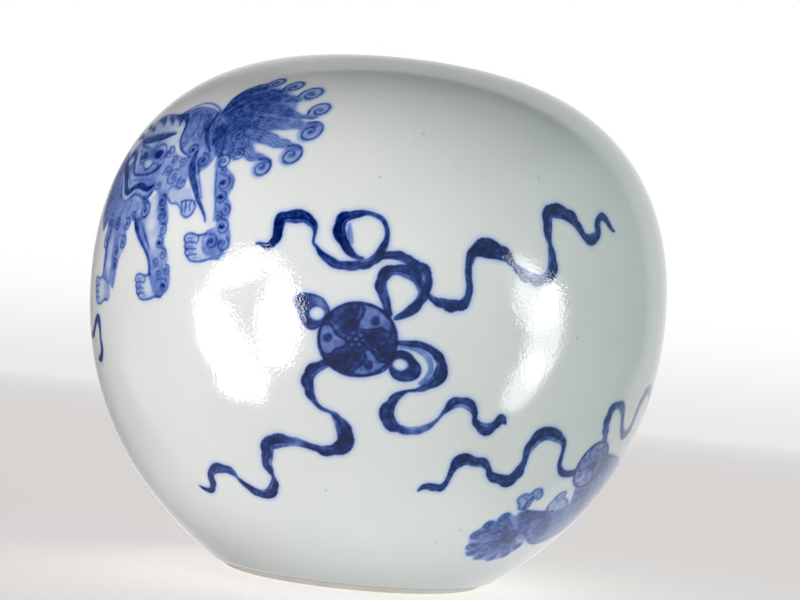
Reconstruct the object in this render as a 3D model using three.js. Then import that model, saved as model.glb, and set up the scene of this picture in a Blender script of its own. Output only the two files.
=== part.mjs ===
// A porcelain water pot for calligraphy: an apple-shaped closed form with a small sunken mouth.
// It is thrown in sections that are luted together with slip, then glazed outside, inside and
// under the foot. Millimetres, +Z up, the axis on Z and the resting face of the foot at z = 0.
import * as THREE from "three";

// Driving dimensions of the fired body, without its glaze
const BELLY_RADIUS = 37.2; // widest point of the wall
const BELLY_HEIGHT = 36.7; // height of the widest point, where the two halves are luted
const LOWER_FULLNESS = 18.6; // how far the belly's roundness reaches down the lower wall
const UPPER_FULLNESS = 22.3; // how far it reaches up the shoulder
const CREST_RADIUS = 14.5; // the ring round the mouth that is the pot's highest point
const CREST_HEIGHT = 64.8;
const SHOULDER_FLATNESS = 6.8; // how far the flat top of the shoulder reaches outwards

const FOOT_RADIUS = 16.4; // outer edge of the resting face
const FOOT_WIDTH = 2.6; // width of the bare ring that the pot rests on
const FOOT_HEIGHT = 2.6; // from the table to the recessed base
const FOOT_DRAFT = 0.7; // how far the inner wall of the ring leans in towards the base
const FOOT_ROUND = 0.5; // rounding from the resting face into the wall
const WALL_RISE = 33; // degrees from level at which the wall leaves the foot
const WALL_REACH = 13; // how far it holds that slope

const WALL = 2.8; // thickness at the belly
const FLOOR = 3.6; // thickness of the base
const FLOOR_RADIUS = 9; // flat middle of the inside floor
const FLOOR_SWEEP = 15; // how far the floor sweeps out before it turns up
const LIP = 2.3; // thickness of the lip
const ROLL_RADIUS = 3.5; // radius on which the shoulder turns down into the mouth
const ROLL_ANGLE = 60; // degrees that it turns

const BAND_HEIGHT = 9; // slip smoothed over the inside of the belly joint
const BAND_THICKNESS = 0.8;

const GLAZE = 0.3; // thickness of each coat
const BARE_EDGE = 0.2; // height above the foot's rounding that is wiped clean of glaze

const SEGMENTS = 48; // round the axis
const WALL_STEPS = 7; // along each half of the wall
const ROLL_STEPS = 3;
const ROUND_STEPS = 2;

const porcelain = { color: 0xe9e4da, roughness: 0.75, metalness: 0 };
const slip = { color: 0xe4ded2, roughness: 0.8, metalness: 0 };
const clearGlaze = { color: 0xdfe6e6, roughness: 0.08, metalness: 0 };

const at = (radius, height) => new THREE.Vector2(radius, height);
const radians = THREE.MathUtils.degToRad;

// Points on an arc. Angles are in degrees, from the outward direction towards up.
function arc(centre, radius, from, to, steps) {
  const points = [];
  for (let i = 0; i <= steps; i++) {
    const angle = radians(from + ((to - from) * i) / steps);
    points.push(at(centre.x + radius * Math.cos(angle), centre.y + radius * Math.sin(angle)));
  }
  return points;
}

// The point of a rising curve at a given height
function pointAtHeight(curve, height) {
  let low = 0;
  let high = 1;
  for (let i = 0; i < 40; i++) {
    const middle = (low + high) / 2;
    if (curve.getPoint(middle).y < height) low = middle;
    else high = middle;
  }
  return curve.getPoint((low + high) / 2);
}

// The part of a list of rising points between two heights, with a point of the curve at each end
function between(curve, points, bottom, top) {
  const inside = points.filter((p) => p.y > bottom + 0.05 && p.y < top - 0.05);
  return [pointAtHeight(curve, bottom), ...inside, pointAtHeight(curve, top)];
}

// A line of points moved sideways, to its right as it runs, by the thickness of a coat
function coatOver(points, thickness) {
  return points.map((p, i) => {
    const before = points[Math.max(i - 1, 0)];
    const after = points[Math.min(i + 1, points.length - 1)];
    const along = after.clone().sub(before).normalize();
    const radius = p.x < 1e-9 ? 0 : p.x + thickness * along.y;
    return at(radius, p.y - thickness * along.x);
  });
}

// A body turned about +Z from a closed or axis-to-axis outline, run anticlockwise
function turned(name, outline, material) {
  const onAxis = outline[0].x === 0 && outline[outline.length - 1].x === 0;
  const closed = onAxis ? outline : [...outline, outline[0].clone()];
  const geometry = new THREE.LatheGeometry(closed, SEGMENTS).rotateX(Math.PI / 2);
  const mesh = new THREE.Mesh(geometry, new THREE.MeshStandardMaterial(material));
  mesh.name = name;
  return mesh;
}

// The outside of the wall, from the foot's rounded edge to the crest
const footEdge = at(FOOT_RADIUS, 0);
const slope = radians(WALL_RISE);
const belly = at(BELLY_RADIUS, BELLY_HEIGHT);
const lowerWall = new THREE.CubicBezierCurve(
  footEdge,
  at(FOOT_RADIUS + WALL_REACH * Math.cos(slope), WALL_REACH * Math.sin(slope)),
  at(BELLY_RADIUS, BELLY_HEIGHT - LOWER_FULLNESS),
  belly,
);
const upperWall = new THREE.CubicBezierCurve(
  belly,
  at(BELLY_RADIUS, BELLY_HEIGHT + UPPER_FULLNESS),
  at(CREST_RADIUS + SHOULDER_FLATNESS, CREST_HEIGHT),
  at(CREST_RADIUS, CREST_HEIGHT),
);

// The inside of the wall, from the floor to the underside of the crest
const floorHeight = FOOT_HEIGHT + FLOOR;
const innerBelly = at(BELLY_RADIUS - WALL, BELLY_HEIGHT);
const lowerInside = new THREE.CubicBezierCurve(
  at(FLOOR_RADIUS, floorHeight),
  at(FLOOR_RADIUS + FLOOR_SWEEP, floorHeight),
  at(BELLY_RADIUS - WALL, BELLY_HEIGHT - LOWER_FULLNESS + WALL),
  innerBelly,
);
const upperInside = new THREE.CubicBezierCurve(
  innerBelly,
  at(BELLY_RADIUS - WALL, BELLY_HEIGHT + UPPER_FULLNESS - WALL),
  at(CREST_RADIUS + SHOULDER_FLATNESS, CREST_HEIGHT - LIP),
  at(CREST_RADIUS, CREST_HEIGHT - LIP),
);

const lowerPoints = lowerWall.getPoints(WALL_STEPS);
const upperPoints = upperWall.getPoints(WALL_STEPS);
const glazeLine = FOOT_ROUND + BARE_EDGE;
const bandBottom = BELLY_HEIGHT - BAND_HEIGHT / 2;
const bandTop = BELLY_HEIGHT + BAND_HEIGHT / 2;

// The foot's outside: a round edge from the resting face, then the wall up to the base
const footRound = new THREE.QuadraticBezierCurve(
  at(FOOT_RADIUS - FOOT_ROUND, 0),
  footEdge,
  pointAtHeight(lowerWall, FOOT_ROUND),
).getPoints(ROUND_STEPS);
const footBare = between(lowerWall, lowerPoints, FOOT_ROUND, glazeLine);
const footWall = between(lowerWall, lowerPoints, glazeLine, FOOT_HEIGHT);
const bowlWall = between(lowerWall, lowerPoints, FOOT_HEIGHT, BELLY_HEIGHT);
const footInner = FOOT_RADIUS - FOOT_ROUND - FOOT_WIDTH;
const baseEdge = at(footInner - FOOT_DRAFT, FOOT_HEIGHT);

// The lip: the shoulder rolls over the crest, turns down into the mouth and ends round
const rollCentre = at(CREST_RADIUS, CREST_HEIGHT - ROLL_RADIUS);
const rollEnd = 90 + ROLL_ANGLE;
const lipOver = arc(rollCentre, ROLL_RADIUS, 90, rollEnd, ROLL_STEPS);
const lipUnder = arc(rollCentre, ROLL_RADIUS - LIP, rollEnd, 90, ROLL_STEPS);
const lipCentre = arc(rollCentre, ROLL_RADIUS - LIP / 2, rollEnd, rollEnd, 1)[0];
const lipRound = arc(lipCentre, LIP / 2, rollEnd, rollEnd + 180, 2 * ROUND_STEPS);
const lipRoundOut = lipRound.slice(0, ROUND_STEPS + 1);
const lipRoundIn = lipRound.slice(ROUND_STEPS);

// The inside, downwards from the crest, with the slip band's bulge over the joint
const shoulderInside = upperInside.getPoints(WALL_STEPS).reverse();
const bowlInside = lowerInside.getPoints(WALL_STEPS).reverse();
const bandUpper = pointAtHeight(upperInside, bandTop);
const bandLower = pointAtHeight(lowerInside, bandBottom);
const aboveBand = shoulderInside.filter((p) => p.y > bandTop + 0.05);
const belowBand = bowlInside.filter((p) => p.y < bandBottom - 0.05);
const innerAt = innerBelly.x - BAND_THICKNESS;
const bandBulge = [
  at(innerAt + BAND_THICKNESS / 3, BELLY_HEIGHT + BAND_HEIGHT / 4),
  at(innerAt, BELLY_HEIGHT),
  at(innerAt + BAND_THICKNESS / 3, BELLY_HEIGHT - BAND_HEIGHT / 4),
];
const floorMiddle = at(0, floorHeight);

// The sections of the body

function makeFootRing() {
  const outline = [
    at(footInner, 0),
    ...footRound,
    ...footBare.slice(1),
    ...footWall.slice(1),
    baseEdge,
  ];
  return turned("foot_ring", outline, porcelain);
}

function makeLowerBody() {
  const inside = [innerBelly, bandLower, ...belowBand, floorMiddle];
  const outline = [at(0, FOOT_HEIGHT), baseEdge, ...bowlWall, ...inside];
  return turned("lower_body", outline, porcelain);
}

function makeUpperBody() {
  const inside = [...aboveBand, bandUpper];
  return turned("upper_body", [innerBelly, ...upperPoints, ...inside], porcelain);
}

function makeMouthRim() {
  const outline = [...lipOver, ...lipRound.slice(1), ...lipUnder.slice(1)];
  return turned("mouth_rim", outline, porcelain);
}

function makeLutingBand() {
  const outline = [bandLower, innerBelly, bandUpper, ...bandBulge];
  return turned("luting_band", outline, slip);
}

// The glaze coats, each lying on the sections that carry it. The outer and the inner coat are
// one line from the foot over the lip to the floor, parted at the lip's edge.
const outerCovered = [
  ...footWall,
  ...bowlWall.slice(1),
  ...upperPoints.slice(1),
  ...lipOver.slice(1),
  ...lipRoundOut.slice(1),
];
const innerCovered = [
  ...lipRoundIn,
  ...lipUnder.slice(1),
  ...aboveBand.slice(1),
  bandUpper,
  ...bandBulge,
  bandLower,
  ...belowBand,
  floorMiddle,
];
const glazeSurface = coatOver([...outerCovered, ...innerCovered.slice(1)], GLAZE);
const partedAt = outerCovered.length - 1;

function makeOuterGlaze() {
  const surface = glazeSurface.slice(0, partedAt + 1);
  return turned("outer_glaze", [...surface, ...outerCovered.toReversed()], clearGlaze);
}

function makeInnerGlaze() {
  const surface = glazeSurface.slice(partedAt);
  return turned("inner_glaze", [...innerCovered.toReversed(), ...surface], clearGlaze);
}

function makeBaseGlaze() {
  const rise = FOOT_HEIGHT - glazeLine;
  const wallFoot = at(footInner - (FOOT_DRAFT * glazeLine) / FOOT_HEIGHT, glazeLine);
  const outline = [
    at(0, FOOT_HEIGHT - GLAZE),
    at(baseEdge.x - rise / 2, FOOT_HEIGHT - GLAZE),
    at(wallFoot.x - GLAZE, FOOT_HEIGHT - rise / 2),
    wallFoot,
    baseEdge,
    at(0, FOOT_HEIGHT),
  ];
  return turned("base_glaze", outline, clearGlaze);
}

const body = new THREE.Group();
body.add(makeFootRing(), makeLowerBody(), makeLutingBand(), makeUpperBody(), makeMouthRim());

const glazes = new THREE.Group();
glazes.add(makeOuterGlaze(), makeInnerGlaze(), makeBaseGlaze());

const waterPot = new THREE.Group();
waterPot.add(body, glazes);

export default waterPot;
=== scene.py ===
# A porcelain water pot for calligraphy, as it stands fired and glazed, for Blender 4.5. The packed
# CAD model is the frame. The turned pieces are repeated here in fine, smooth meshes, and the
# cobalt painting of lions and brocade balls is laid on the outer coat with a brush.
import math

import bpy
import numpy as np
from mathutils import Matrix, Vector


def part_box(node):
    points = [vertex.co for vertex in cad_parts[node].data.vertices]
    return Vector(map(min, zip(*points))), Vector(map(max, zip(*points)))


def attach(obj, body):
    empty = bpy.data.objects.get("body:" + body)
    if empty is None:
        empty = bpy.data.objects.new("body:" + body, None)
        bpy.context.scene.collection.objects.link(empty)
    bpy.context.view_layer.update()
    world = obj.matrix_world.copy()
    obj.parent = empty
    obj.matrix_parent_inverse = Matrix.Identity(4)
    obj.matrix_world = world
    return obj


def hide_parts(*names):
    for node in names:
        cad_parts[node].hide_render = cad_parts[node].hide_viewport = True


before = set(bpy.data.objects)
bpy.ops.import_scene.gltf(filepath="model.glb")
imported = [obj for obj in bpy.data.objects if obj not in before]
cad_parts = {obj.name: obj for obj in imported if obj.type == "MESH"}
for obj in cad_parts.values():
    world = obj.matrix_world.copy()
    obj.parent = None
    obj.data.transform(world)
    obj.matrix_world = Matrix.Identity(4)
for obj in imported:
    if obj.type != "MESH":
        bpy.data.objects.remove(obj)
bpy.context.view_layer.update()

MM = 0.001  # the shapes below are worked out in millimetres

# Sizes, mm

_, lower_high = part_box("lower_body")
_, rim_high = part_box("mouth_rim")
_, foot_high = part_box("foot_ring")

BELLY_RADIUS = lower_high[0] / MM
BELLY_HEIGHT = lower_high[2] / MM
CREST_RADIUS = rim_high[0] / MM
CREST_HEIGHT = rim_high[2] / MM
FOOT_HEIGHT = foot_high[2] / MM  # from the table to the recessed base

# The same curves as in the part's source
LOWER_FULLNESS = 18.6
UPPER_FULLNESS = 22.3
SHOULDER_FLATNESS = 6.8
FOOT_RADIUS = 16.4
FOOT_WIDTH = 2.6
FOOT_DRAFT = 0.7
FOOT_ROUND = 0.5
WALL_RISE = 33  # degrees
WALL_REACH = 13
WALL = 2.8
FLOOR = 3.6
FLOOR_RADIUS = 9
FLOOR_SWEEP = 15
LIP = 2.3
ROLL_RADIUS = 3.5
ROLL_ANGLE = 60  # degrees
BAND_HEIGHT = 9
BAND_THICKNESS = 0.8
GLAZE = 0.3
BARE_EDGE = 0.2
GLAZE_LINE = FOOT_ROUND + BARE_EDGE
GLAZE_FEATHER = 0.7  # the coat thins out over this much at its wiped edge

# The net that carries the painting
NET_ROUND = 2560  # nodes round the pot, about 0.09 mm apart at the belly
NET_UP = 1024  # steps up the wall, about as far apart
NET_COARSE = 16  # the largest face, in steps of the net
SPLIT_AT = {1: 0.09, 2: 0.05, 3: 0.025, 4: 0.012}  # difference in cobalt, by a face's level
FRONT_SHARE = 0.94  # of the UV map's height that the painted face takes
BACK_ROWS = 40  # rows of faces on the coat's back
SMOOTH_ROUND = 192  # segments round the unpainted pieces
PICTURE_EDGE = 0.01  # left free round the edge of an unpainted piece's UV map
MOTTLE_SIZE = 97  # cells, before the brush's unevenness repeats

# Outlines of the turned pieces


def bezier(a, b, c, d, steps=160):
    t = np.linspace(0, 1, steps + 1)[:, None]
    a, b, c, d = (np.array(p, float) for p in (a, b, c, d))
    return (1 - t) ** 3 * a + 3 * (1 - t) ** 2 * t * b + 3 * (1 - t) * t * t * c + t**3 * d


def bezier_quadratic(a, b, c, steps=12):
    t = np.linspace(0, 1, steps + 1)[:, None]
    a, b, c = (np.array(p, float) for p in (a, b, c))
    return (1 - t) ** 2 * a + 2 * (1 - t) * t * b + t * t * c


def arc(centre, radius, start, stop, steps=24):
    angles = np.radians(np.linspace(start, stop, steps + 1))
    return np.stack([centre[0] + radius * np.cos(angles), centre[1] + radius * np.sin(angles)], 1)


def joined(*lines):
    """Lines end to end, each shared point once."""
    parts = [lines[0]]
    for line in lines[1:]:
        parts.append(line[1:] if np.hypot(*(line[0] - parts[-1][-1])) < 1e-6 else line)
    return np.vstack(parts)


def run_of(line):
    """Distance along a line at each of its points."""
    return np.concatenate([[0], np.cumsum(np.hypot(*np.diff(line, axis=0).T))])


def sides_of(line):
    """Unit normals to the right of a line as it runs."""
    ahead = np.gradient(line, run_of(line), axis=0)
    ahead /= np.hypot(*ahead.T)[:, None]
    return np.stack([ahead[:, 1], -ahead[:, 0]], 1)


def at_runs(line, runs, values=None):
    """Points of a line, or values given along it, at distances along it."""
    values = line if values is None else values
    run = run_of(line)
    return np.stack([np.interp(runs, run, values[:, k]) for k in range(values.shape[1])], 1)


def from_height(line, height):
    """The part of a rising line above a height."""
    first = np.array([np.interp(height, line[:, 1], line[:, 0]), height])
    return np.vstack([first, line[line[:, 1] > height + 1e-6]])


slope = math.radians(WALL_RISE)
lower_wall = bezier(
    (FOOT_RADIUS, 0),
    (FOOT_RADIUS + WALL_REACH * math.cos(slope), WALL_REACH * math.sin(slope)),
    (BELLY_RADIUS, BELLY_HEIGHT - LOWER_FULLNESS),
    (BELLY_RADIUS, BELLY_HEIGHT),
)
upper_wall = bezier(
    (BELLY_RADIUS, BELLY_HEIGHT),
    (BELLY_RADIUS, BELLY_HEIGHT + UPPER_FULLNESS),
    (CREST_RADIUS + SHOULDER_FLATNESS, CREST_HEIGHT),
    (CREST_RADIUS, CREST_HEIGHT),
)
inner_belly = BELLY_RADIUS - WALL
floor_height = FOOT_HEIGHT + FLOOR
lower_inside = bezier(
    (FLOOR_RADIUS, floor_height),
    (FLOOR_RADIUS + FLOOR_SWEEP, floor_height),
    (inner_belly, BELLY_HEIGHT - LOWER_FULLNESS + WALL),
    (inner_belly, BELLY_HEIGHT),
)
upper_inside = bezier(
    (inner_belly, BELLY_HEIGHT),
    (inner_belly, BELLY_HEIGHT + UPPER_FULLNESS - WALL),
    (CREST_RADIUS + SHOULDER_FLATNESS, CREST_HEIGHT - LIP),
    (CREST_RADIUS, CREST_HEIGHT - LIP),
)
roll_centre = (CREST_RADIUS, CREST_HEIGHT - ROLL_RADIUS)
roll_end = 90 + ROLL_ANGLE
lip_over = arc(roll_centre, ROLL_RADIUS, 90, roll_end)
lip_under = arc(roll_centre, ROLL_RADIUS - LIP, roll_end, 90)
lip_centre = arc(roll_centre, ROLL_RADIUS - LIP / 2, roll_end, roll_end, 1)[0]
lip_out = arc(lip_centre, LIP / 2, roll_end, roll_end + 90, 16)
lip_in = arc(lip_centre, LIP / 2, roll_end + 90, roll_end + 180, 16)


def with_band(line):
    """The inside of the wall with the slip band's bulge over the joint."""
    share = np.clip((line[:, 1] - BELLY_HEIGHT) / (BAND_HEIGHT / 2), -1, 1)
    bulge = BAND_THICKNESS * (1 + np.cos(math.pi * share)) / 2
    return np.stack([line[:, 0] - bulge, line[:, 1]], 1)


# One line of bare porcelain from the foot over the lip and down to the middle of the floor
outside = joined(from_height(lower_wall, GLAZE_LINE), upper_wall, lip_over, lip_out)
inside = joined(
    lip_in,
    lip_under,
    with_band(joined(upper_inside[::-1], lower_inside[::-1])),
    np.array([[FLOOR_RADIUS, floor_height], [FLOOR_RADIUS / 2, floor_height], [0, floor_height]]),
)
outside_run = run_of(outside)[-1]
covered = joined(outside, inside)
covered_run = run_of(covered)
feather = np.clip(covered_run / GLAZE_FEATHER, 0, 1)
coat = covered + sides_of(covered) * GLAZE * np.sqrt(feather * (2 - feather))[:, None]
coat[-1, 0] = 0
coat_sides = sides_of(coat)
coat_run = run_of(coat)
parting = coat_run[np.searchsorted(covered_run, outside_run)]

# The net over the outer coat

# The painting's heights are measured up the coat from the foot's edge, below the coat's own edge.
foot_to_coat = np.interp(GLAZE_LINE, lower_wall[:, 1], run_of(lower_wall))
net_run = np.linspace(0, parting, NET_UP + 1)
net_line = at_runs(coat, net_run)
net_side = at_runs(coat, net_run, coat_sides)
net_y = net_run + foot_to_coat
net_r = net_line[:, 0]
net_dy = net_y[1] - net_y[0]
net_dlon = 2 * math.pi / NET_ROUND
net_lon = -math.pi + net_dlon * np.arange(NET_ROUND)
cobalt = np.zeros((NET_UP + 1, NET_ROUND), np.float32)

chance = np.random.default_rng(11)
MOTTLE = np.random.default_rng(5).uniform(-1, 1, (MOTTLE_SIZE, MOTTLE_SIZE))


# The brush. Lengths are in mm.

LINE_STEP = 0.3  # between the points of a drawn line
FINE_LINE = 0.4  # a line no wider than this has closer points
FINE_STEP = 0.25
STROKE_REACH = 0.35  # how far outside its edge a stroke is worked out
STREAK_LENGTH = 2.2
ROUGH_LENGTH = 0.8
STROKE_RIM = 0.13  # the width of the darker rim where cobalt pools at an edge
WASH_REACH = 0.6
WASH_RIM = 0.2
WASH_CLOUDS = 1.3
SCALLOP_LENGTH = 2.1
SCALLOP_DEPTH = 0.26
FOLD_LENGTH = 4.0
HAIR_POINTS = 9
WAVY_POINTS = 26
STRAIGHT_POINTS = 7
HAIR_WAVE = 1.7
LOCK_WAVE = 1.9
LOCK_SWAY = 0.14
LOCK_LINE = 0.14
CURL_STEPS = 12
CURL_KEEP = 0.66  # of the cobalt that lies under a curl


def smooth(points, step):
    """A smooth line through given rows (x, y, ...), as rows in even short steps."""
    rows = np.asarray(points, float)
    if len(rows) == 1:
        return rows
    before = 2 * rows[0] - rows[1]
    after = 2 * rows[-1] - rows[-2]
    ends = np.vstack([before, rows, after])
    parts = []
    for a, b, c, d in zip(ends, ends[1:], ends[2:], ends[3:]):
        count = max(2, int(np.ceil(np.hypot(*(c - b)[:2]) / step)))
        t = np.linspace(0, 1, count, endpoint=False)[:, None]
        bend = 2 * a - 5 * b + 4 * c - d
        parts.append(b + 0.5 * ((c - a) * t + bend * t**2 + (3 * b - a - 3 * c + d) * t**3))
    return np.vstack(parts + [rows[-1:]])


def ring(points, step):
    """The same for a closed outline."""
    rows = np.asarray(points, float)
    line = smooth(np.vstack([rows[-2:], rows, rows[:3]]), step)
    gaps = np.hypot(line[:, 0] - rows[0, 0], line[:, 1] - rows[0, 1])
    first = int(np.argmin(gaps[: len(gaps) // 2]))
    last = len(gaps) // 2 + int(np.argmin(gaps[len(gaps) // 2 :]))
    return line[first : last + 1]


def mottle(a, b):
    """Soft random unevenness between -1 and 1, with one step to each unit of a and b."""
    size = len(MOTTLE)
    i = np.floor(a).astype(int)
    j = np.floor(b).astype(int)
    u = a - i
    v = b - j
    u = u * u * (3 - 2 * u)
    v = v * v * (3 - 2 * v)
    low = MOTTLE[i % size, j % size] * (1 - u) + MOTTLE[(i + 1) % size, j % size] * u
    high = MOTTLE[i % size, (j + 1) % size] * (1 - u) + MOTTLE[(i + 1) % size, (j + 1) % size] * u
    return low * (1 - v) + high * v


def oval(x, y, across, up, count, last=None):
    """Points round an oval, from its right side to an angle in radians, or all the way."""
    whole = last is None
    angles = np.linspace(0, 2 * math.pi if whole else last, count, endpoint=not whole)
    return [(x + across * math.cos(a), y + up * math.sin(a)) for a in angles]


class Brush:
    """Paints on the wall. Its points are in mm: x to the right of a line of longitude, y up the wall."""

    def __init__(self, longitude, at=(0, 0), about=(0, 0), scale=1, turn=0, mirrored=False):
        self.longitude = math.radians(longitude)
        self.at = np.array(at, float)
        self.about = np.array(about, float)
        self.scale = scale
        self.thin = 1.0  # how much of a wash's tone is laid
        self.load = 1.0  # how much of a stroke's tone is laid
        self.melt = 1.0  # how far a stroke's edge has run, in shares of its softness
        self.full = 1.0  # the most cobalt that all its touches leave
        flip = -1 if mirrored else 1
        c = math.cos(math.radians(turn)) * scale
        s = math.sin(math.radians(turn)) * scale
        self.matrix = np.array([[c * flip, s * flip], [-s, c]])

    def place(self, points):
        """Moves rows (x, y, ...) to where this brush paints them."""
        rows = np.array(points, float)
        rows[:, :2] = (rows[:, :2] - self.about) @ self.matrix + self.at + self.about
        return rows

    def patch(self, low, high):
        """The part of the net between two corners: its slices and the x and y of its nodes."""
        first = int(np.clip((low[1] - net_y[0]) / net_dy - 1, 0, NET_UP))
        last = int(np.clip((high[1] - net_y[0]) / net_dy + 2, 0, NET_UP))
        radii = net_r[first : last + 1]
        small, large = radii.min(), radii.max()
        left = self.longitude + min(low[0] / small, low[0] / large)
        right = self.longitude + max(high[0] / small, high[0] / large)
        start = int((left + math.pi) / net_dlon) - 1
        stop = int((right + math.pi) / net_dlon) + 2
        rows = slice(first, last + 1)
        columns = slice(max(start, 0), min(stop, NET_ROUND))
        x = (net_lon[None, columns] - self.longitude) * radii[:, None]
        y = np.broadcast_to(net_y[rows, None], x.shape)
        return rows, columns, x, y

    def lay(self, rows, columns, amount):
        """Lays cobalt over what is there already."""
        room_left = np.maximum(self.full - cobalt[rows, columns], 0)
        cobalt[rows, columns] += room_left * np.clip(amount / self.full, 0, 1)

    def near(self, line, width, reach):
        """For nodes within reach of a line: distance to its edge, place across it and along it."""
        low = line[:, :2].min(0) - reach - width.max() / 2
        high = line[:, :2].max(0) + reach + width.max() / 2
        rows, columns, x, y = self.patch(low, high)
        gap = np.full(x.shape, reach + 1.0)
        across = np.zeros(x.shape)
        along = np.zeros(x.shape)
        index = np.zeros(x.shape)
        run = 0.0
        if not x.size:
            return rows, columns, x, y, gap, across, along, index
        for k in range(len(line) - 1):
            (x0, y0), (x1, y1) = line[k, :2], line[k + 1, :2]
            length = math.hypot(x1 - x0, y1 - y0)
            if length < 1e-9:
                continue
            margin = reach + max(width[k], width[k + 1]) / 2
            i0 = max(int((min(y0, y1) - margin - y[0, 0]) / net_dy), 0)
            i1 = int((max(y0, y1) + margin - y[0, 0]) / net_dy) + 2
            if i1 <= i0 or i0 >= len(x):
                continue
            middle = x[(i0 + min(i1, len(x) - 1)) // 2]
            j0 = max(int(np.searchsorted(middle, min(x0, x1) - margin * 1.15)) - 1, 0)
            j1 = int(np.searchsorted(middle, max(x0, x1) + margin * 1.15)) + 1
            near_x = x[i0:i1, j0:j1] - x0
            near_y = y[i0:i1, j0:j1] - y0
            ux, uy = (x1 - x0) / length, (y1 - y0) / length
            t = np.clip((near_x * ux + near_y * uy) / length, 0, 1)
            off_x = near_x - t * length * ux
            off_y = near_y - t * length * uy
            half = (width[k] + (width[k + 1] - width[k]) * t) / 2
            edge = np.hypot(off_x, off_y) - half
            block = gap[i0:i1, j0:j1]
            closer = edge < block
            block[closer] = edge[closer]
            side = (ux * near_y - uy * near_x) / np.maximum(half, 0.05)
            across[i0:i1, j0:j1][closer] = side[closer]
            along[i0:i1, j0:j1][closer] = (run + t * length)[closer]
            index[i0:i1, j0:j1][closer] = (k + t)[closer]
            run += length
        return rows, columns, x, y, gap, across, along, index

    def stroke(self, points, tone=0.8, width=None, soft=0.12, streaks=0.12, rim=0.0, rough=0.0, fold=0.0):
        """One stroke through rows (x, y, width), or (x, y) at one width, or (x, y, width, tone)."""
        step = LINE_STEP if width is None or width > FINE_LINE else FINE_STEP
        line = smooth(self.place(points), step)
        widths = np.full(len(line), float(width)) if width else np.maximum(line[:, 2], 0.05)
        widths = widths * self.scale
        rows, columns, _, _, gap, across, along, index = self.near(line, widths, STROKE_REACH)
        gap = gap + rough * mottle(along / ROUGH_LENGTH + 2.3, across / 2 + 7)
        tones = line[:, 3] if line.shape[1] > 3 else np.full(len(line), tone)
        amount = np.interp(index, np.arange(len(line)), tones)
        amount = amount * (1 + streaks * mottle(along / STREAK_LENGTH + 3.7, across * 2.2 + 11))
        amount = amount + rim * np.exp(-np.maximum(-gap, 0) / STROKE_RIM)
        if fold:
            gap, amount = self.folded(line, widths, gap, across, along, index, amount, fold)
        self.lay(rows, columns, amount * self.load * coverage(gap, soft * self.melt))

    def folded(self, line, widths, gap, across, along, index, amount, fold):
        """In its bends a ribbon has scallops along the outside, and its paler face along the inside."""
        ahead = np.gradient(line[:, :2], axis=0)
        turning = ahead[:, 0] * np.gradient(ahead[:, 1]) - ahead[:, 1] * np.gradient(ahead[:, 0])
        bend = np.convolve(turning / (ahead**2).sum(1) ** 1.5, np.ones(7) / 7, mode="same")
        places = np.arange(len(line))
        bent = np.clip((widths - 0.7) / 0.4, 0, 1) * np.clip(np.abs(bend) / 0.25, 0, 1)
        wide = np.interp(index, places, bent)
        inner = np.interp(index, places, np.tanh(bend / 0.08)) * across
        lobes = np.abs(np.sin(math.pi * along / SCALLOP_LENGTH + 1.5 * mottle(along / 5, 0 * across + 4)))
        gap = gap - SCALLOP_DEPTH * wide * np.clip(-inner, 0, 1) * (lobes - 0.6)
        shown = np.clip(0.55 + 1.3 * mottle(along / FOLD_LENGTH + 8, across * 0 + 5), 0, 1) * wide
        amount = amount - fold * shown * np.clip((inner - 0.3) / 0.12, 0, 1)
        crease = 0.3 * shown * np.exp(-(((inner - 0.26) / 0.1) ** 2))
        return gap, amount + crease

    def strokes(self, lines, tone, **settings):
        """Several strokes of one tone."""
        for line in lines:
            self.stroke(line, tone, **settings)

    def wash(self, outline, tone, soft=0.14, rim=0.06, uneven=0.22, keep=None):
        """A filled shape. tone is one number, or rows (x, y, tone) that it blends between."""
        line = ring(self.place(outline), LINE_STEP)
        reach = WASH_REACH
        rows, columns, x, y, gap, _, _, _ = self.near(line, np.zeros(len(line)), reach)
        if not x.size:
            return
        within = np.zeros(x.shape, bool)
        for (x0, y0), (x1, y1) in zip(line[:, :2], np.roll(line[:, :2], -1, 0)):
            if y0 == y1:
                continue
            low, high = min(y0, y1), max(y0, y1)
            i0, i1 = np.searchsorted(y[:, 0], [low, high])
            cross = x0 + (y[i0:i1, :1] - y0) * (x1 - x0) / (y1 - y0)
            within[i0:i1] ^= x[i0:i1] < cross
        gap = np.where(within, -np.minimum(gap, reach), np.minimum(gap, reach))
        cover = coverage(gap, soft * self.melt)
        if keep is not None:
            cobalt[rows, columns] *= 1 - cover * (1 - keep)
            return
        if np.ndim(tone):
            spots = self.place(tone)
            total = np.zeros(x.shape)
            amount = np.zeros(x.shape)
            for sx, sy, value in spots:
                weight = 1 / ((x - sx) ** 2 + (y - sy) ** 2 + 0.3) ** 1.5
                total += weight
                amount += weight * value
            amount /= total
        else:
            amount = np.full(x.shape, float(tone))
        amount = amount * self.thin * (1 + uneven * mottle(x / WASH_CLOUDS + 5, y / WASH_CLOUDS + 9))
        amount = amount + rim * np.exp(-np.maximum(-gap, 0) / WASH_RIM)
        self.lay(rows, columns, amount * cover)

    def reserve(self, outline, keep=0.0):
        """Wipes cobalt away inside an outline, down to a share of it."""
        self.wash(outline, 0, keep=keep)

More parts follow.
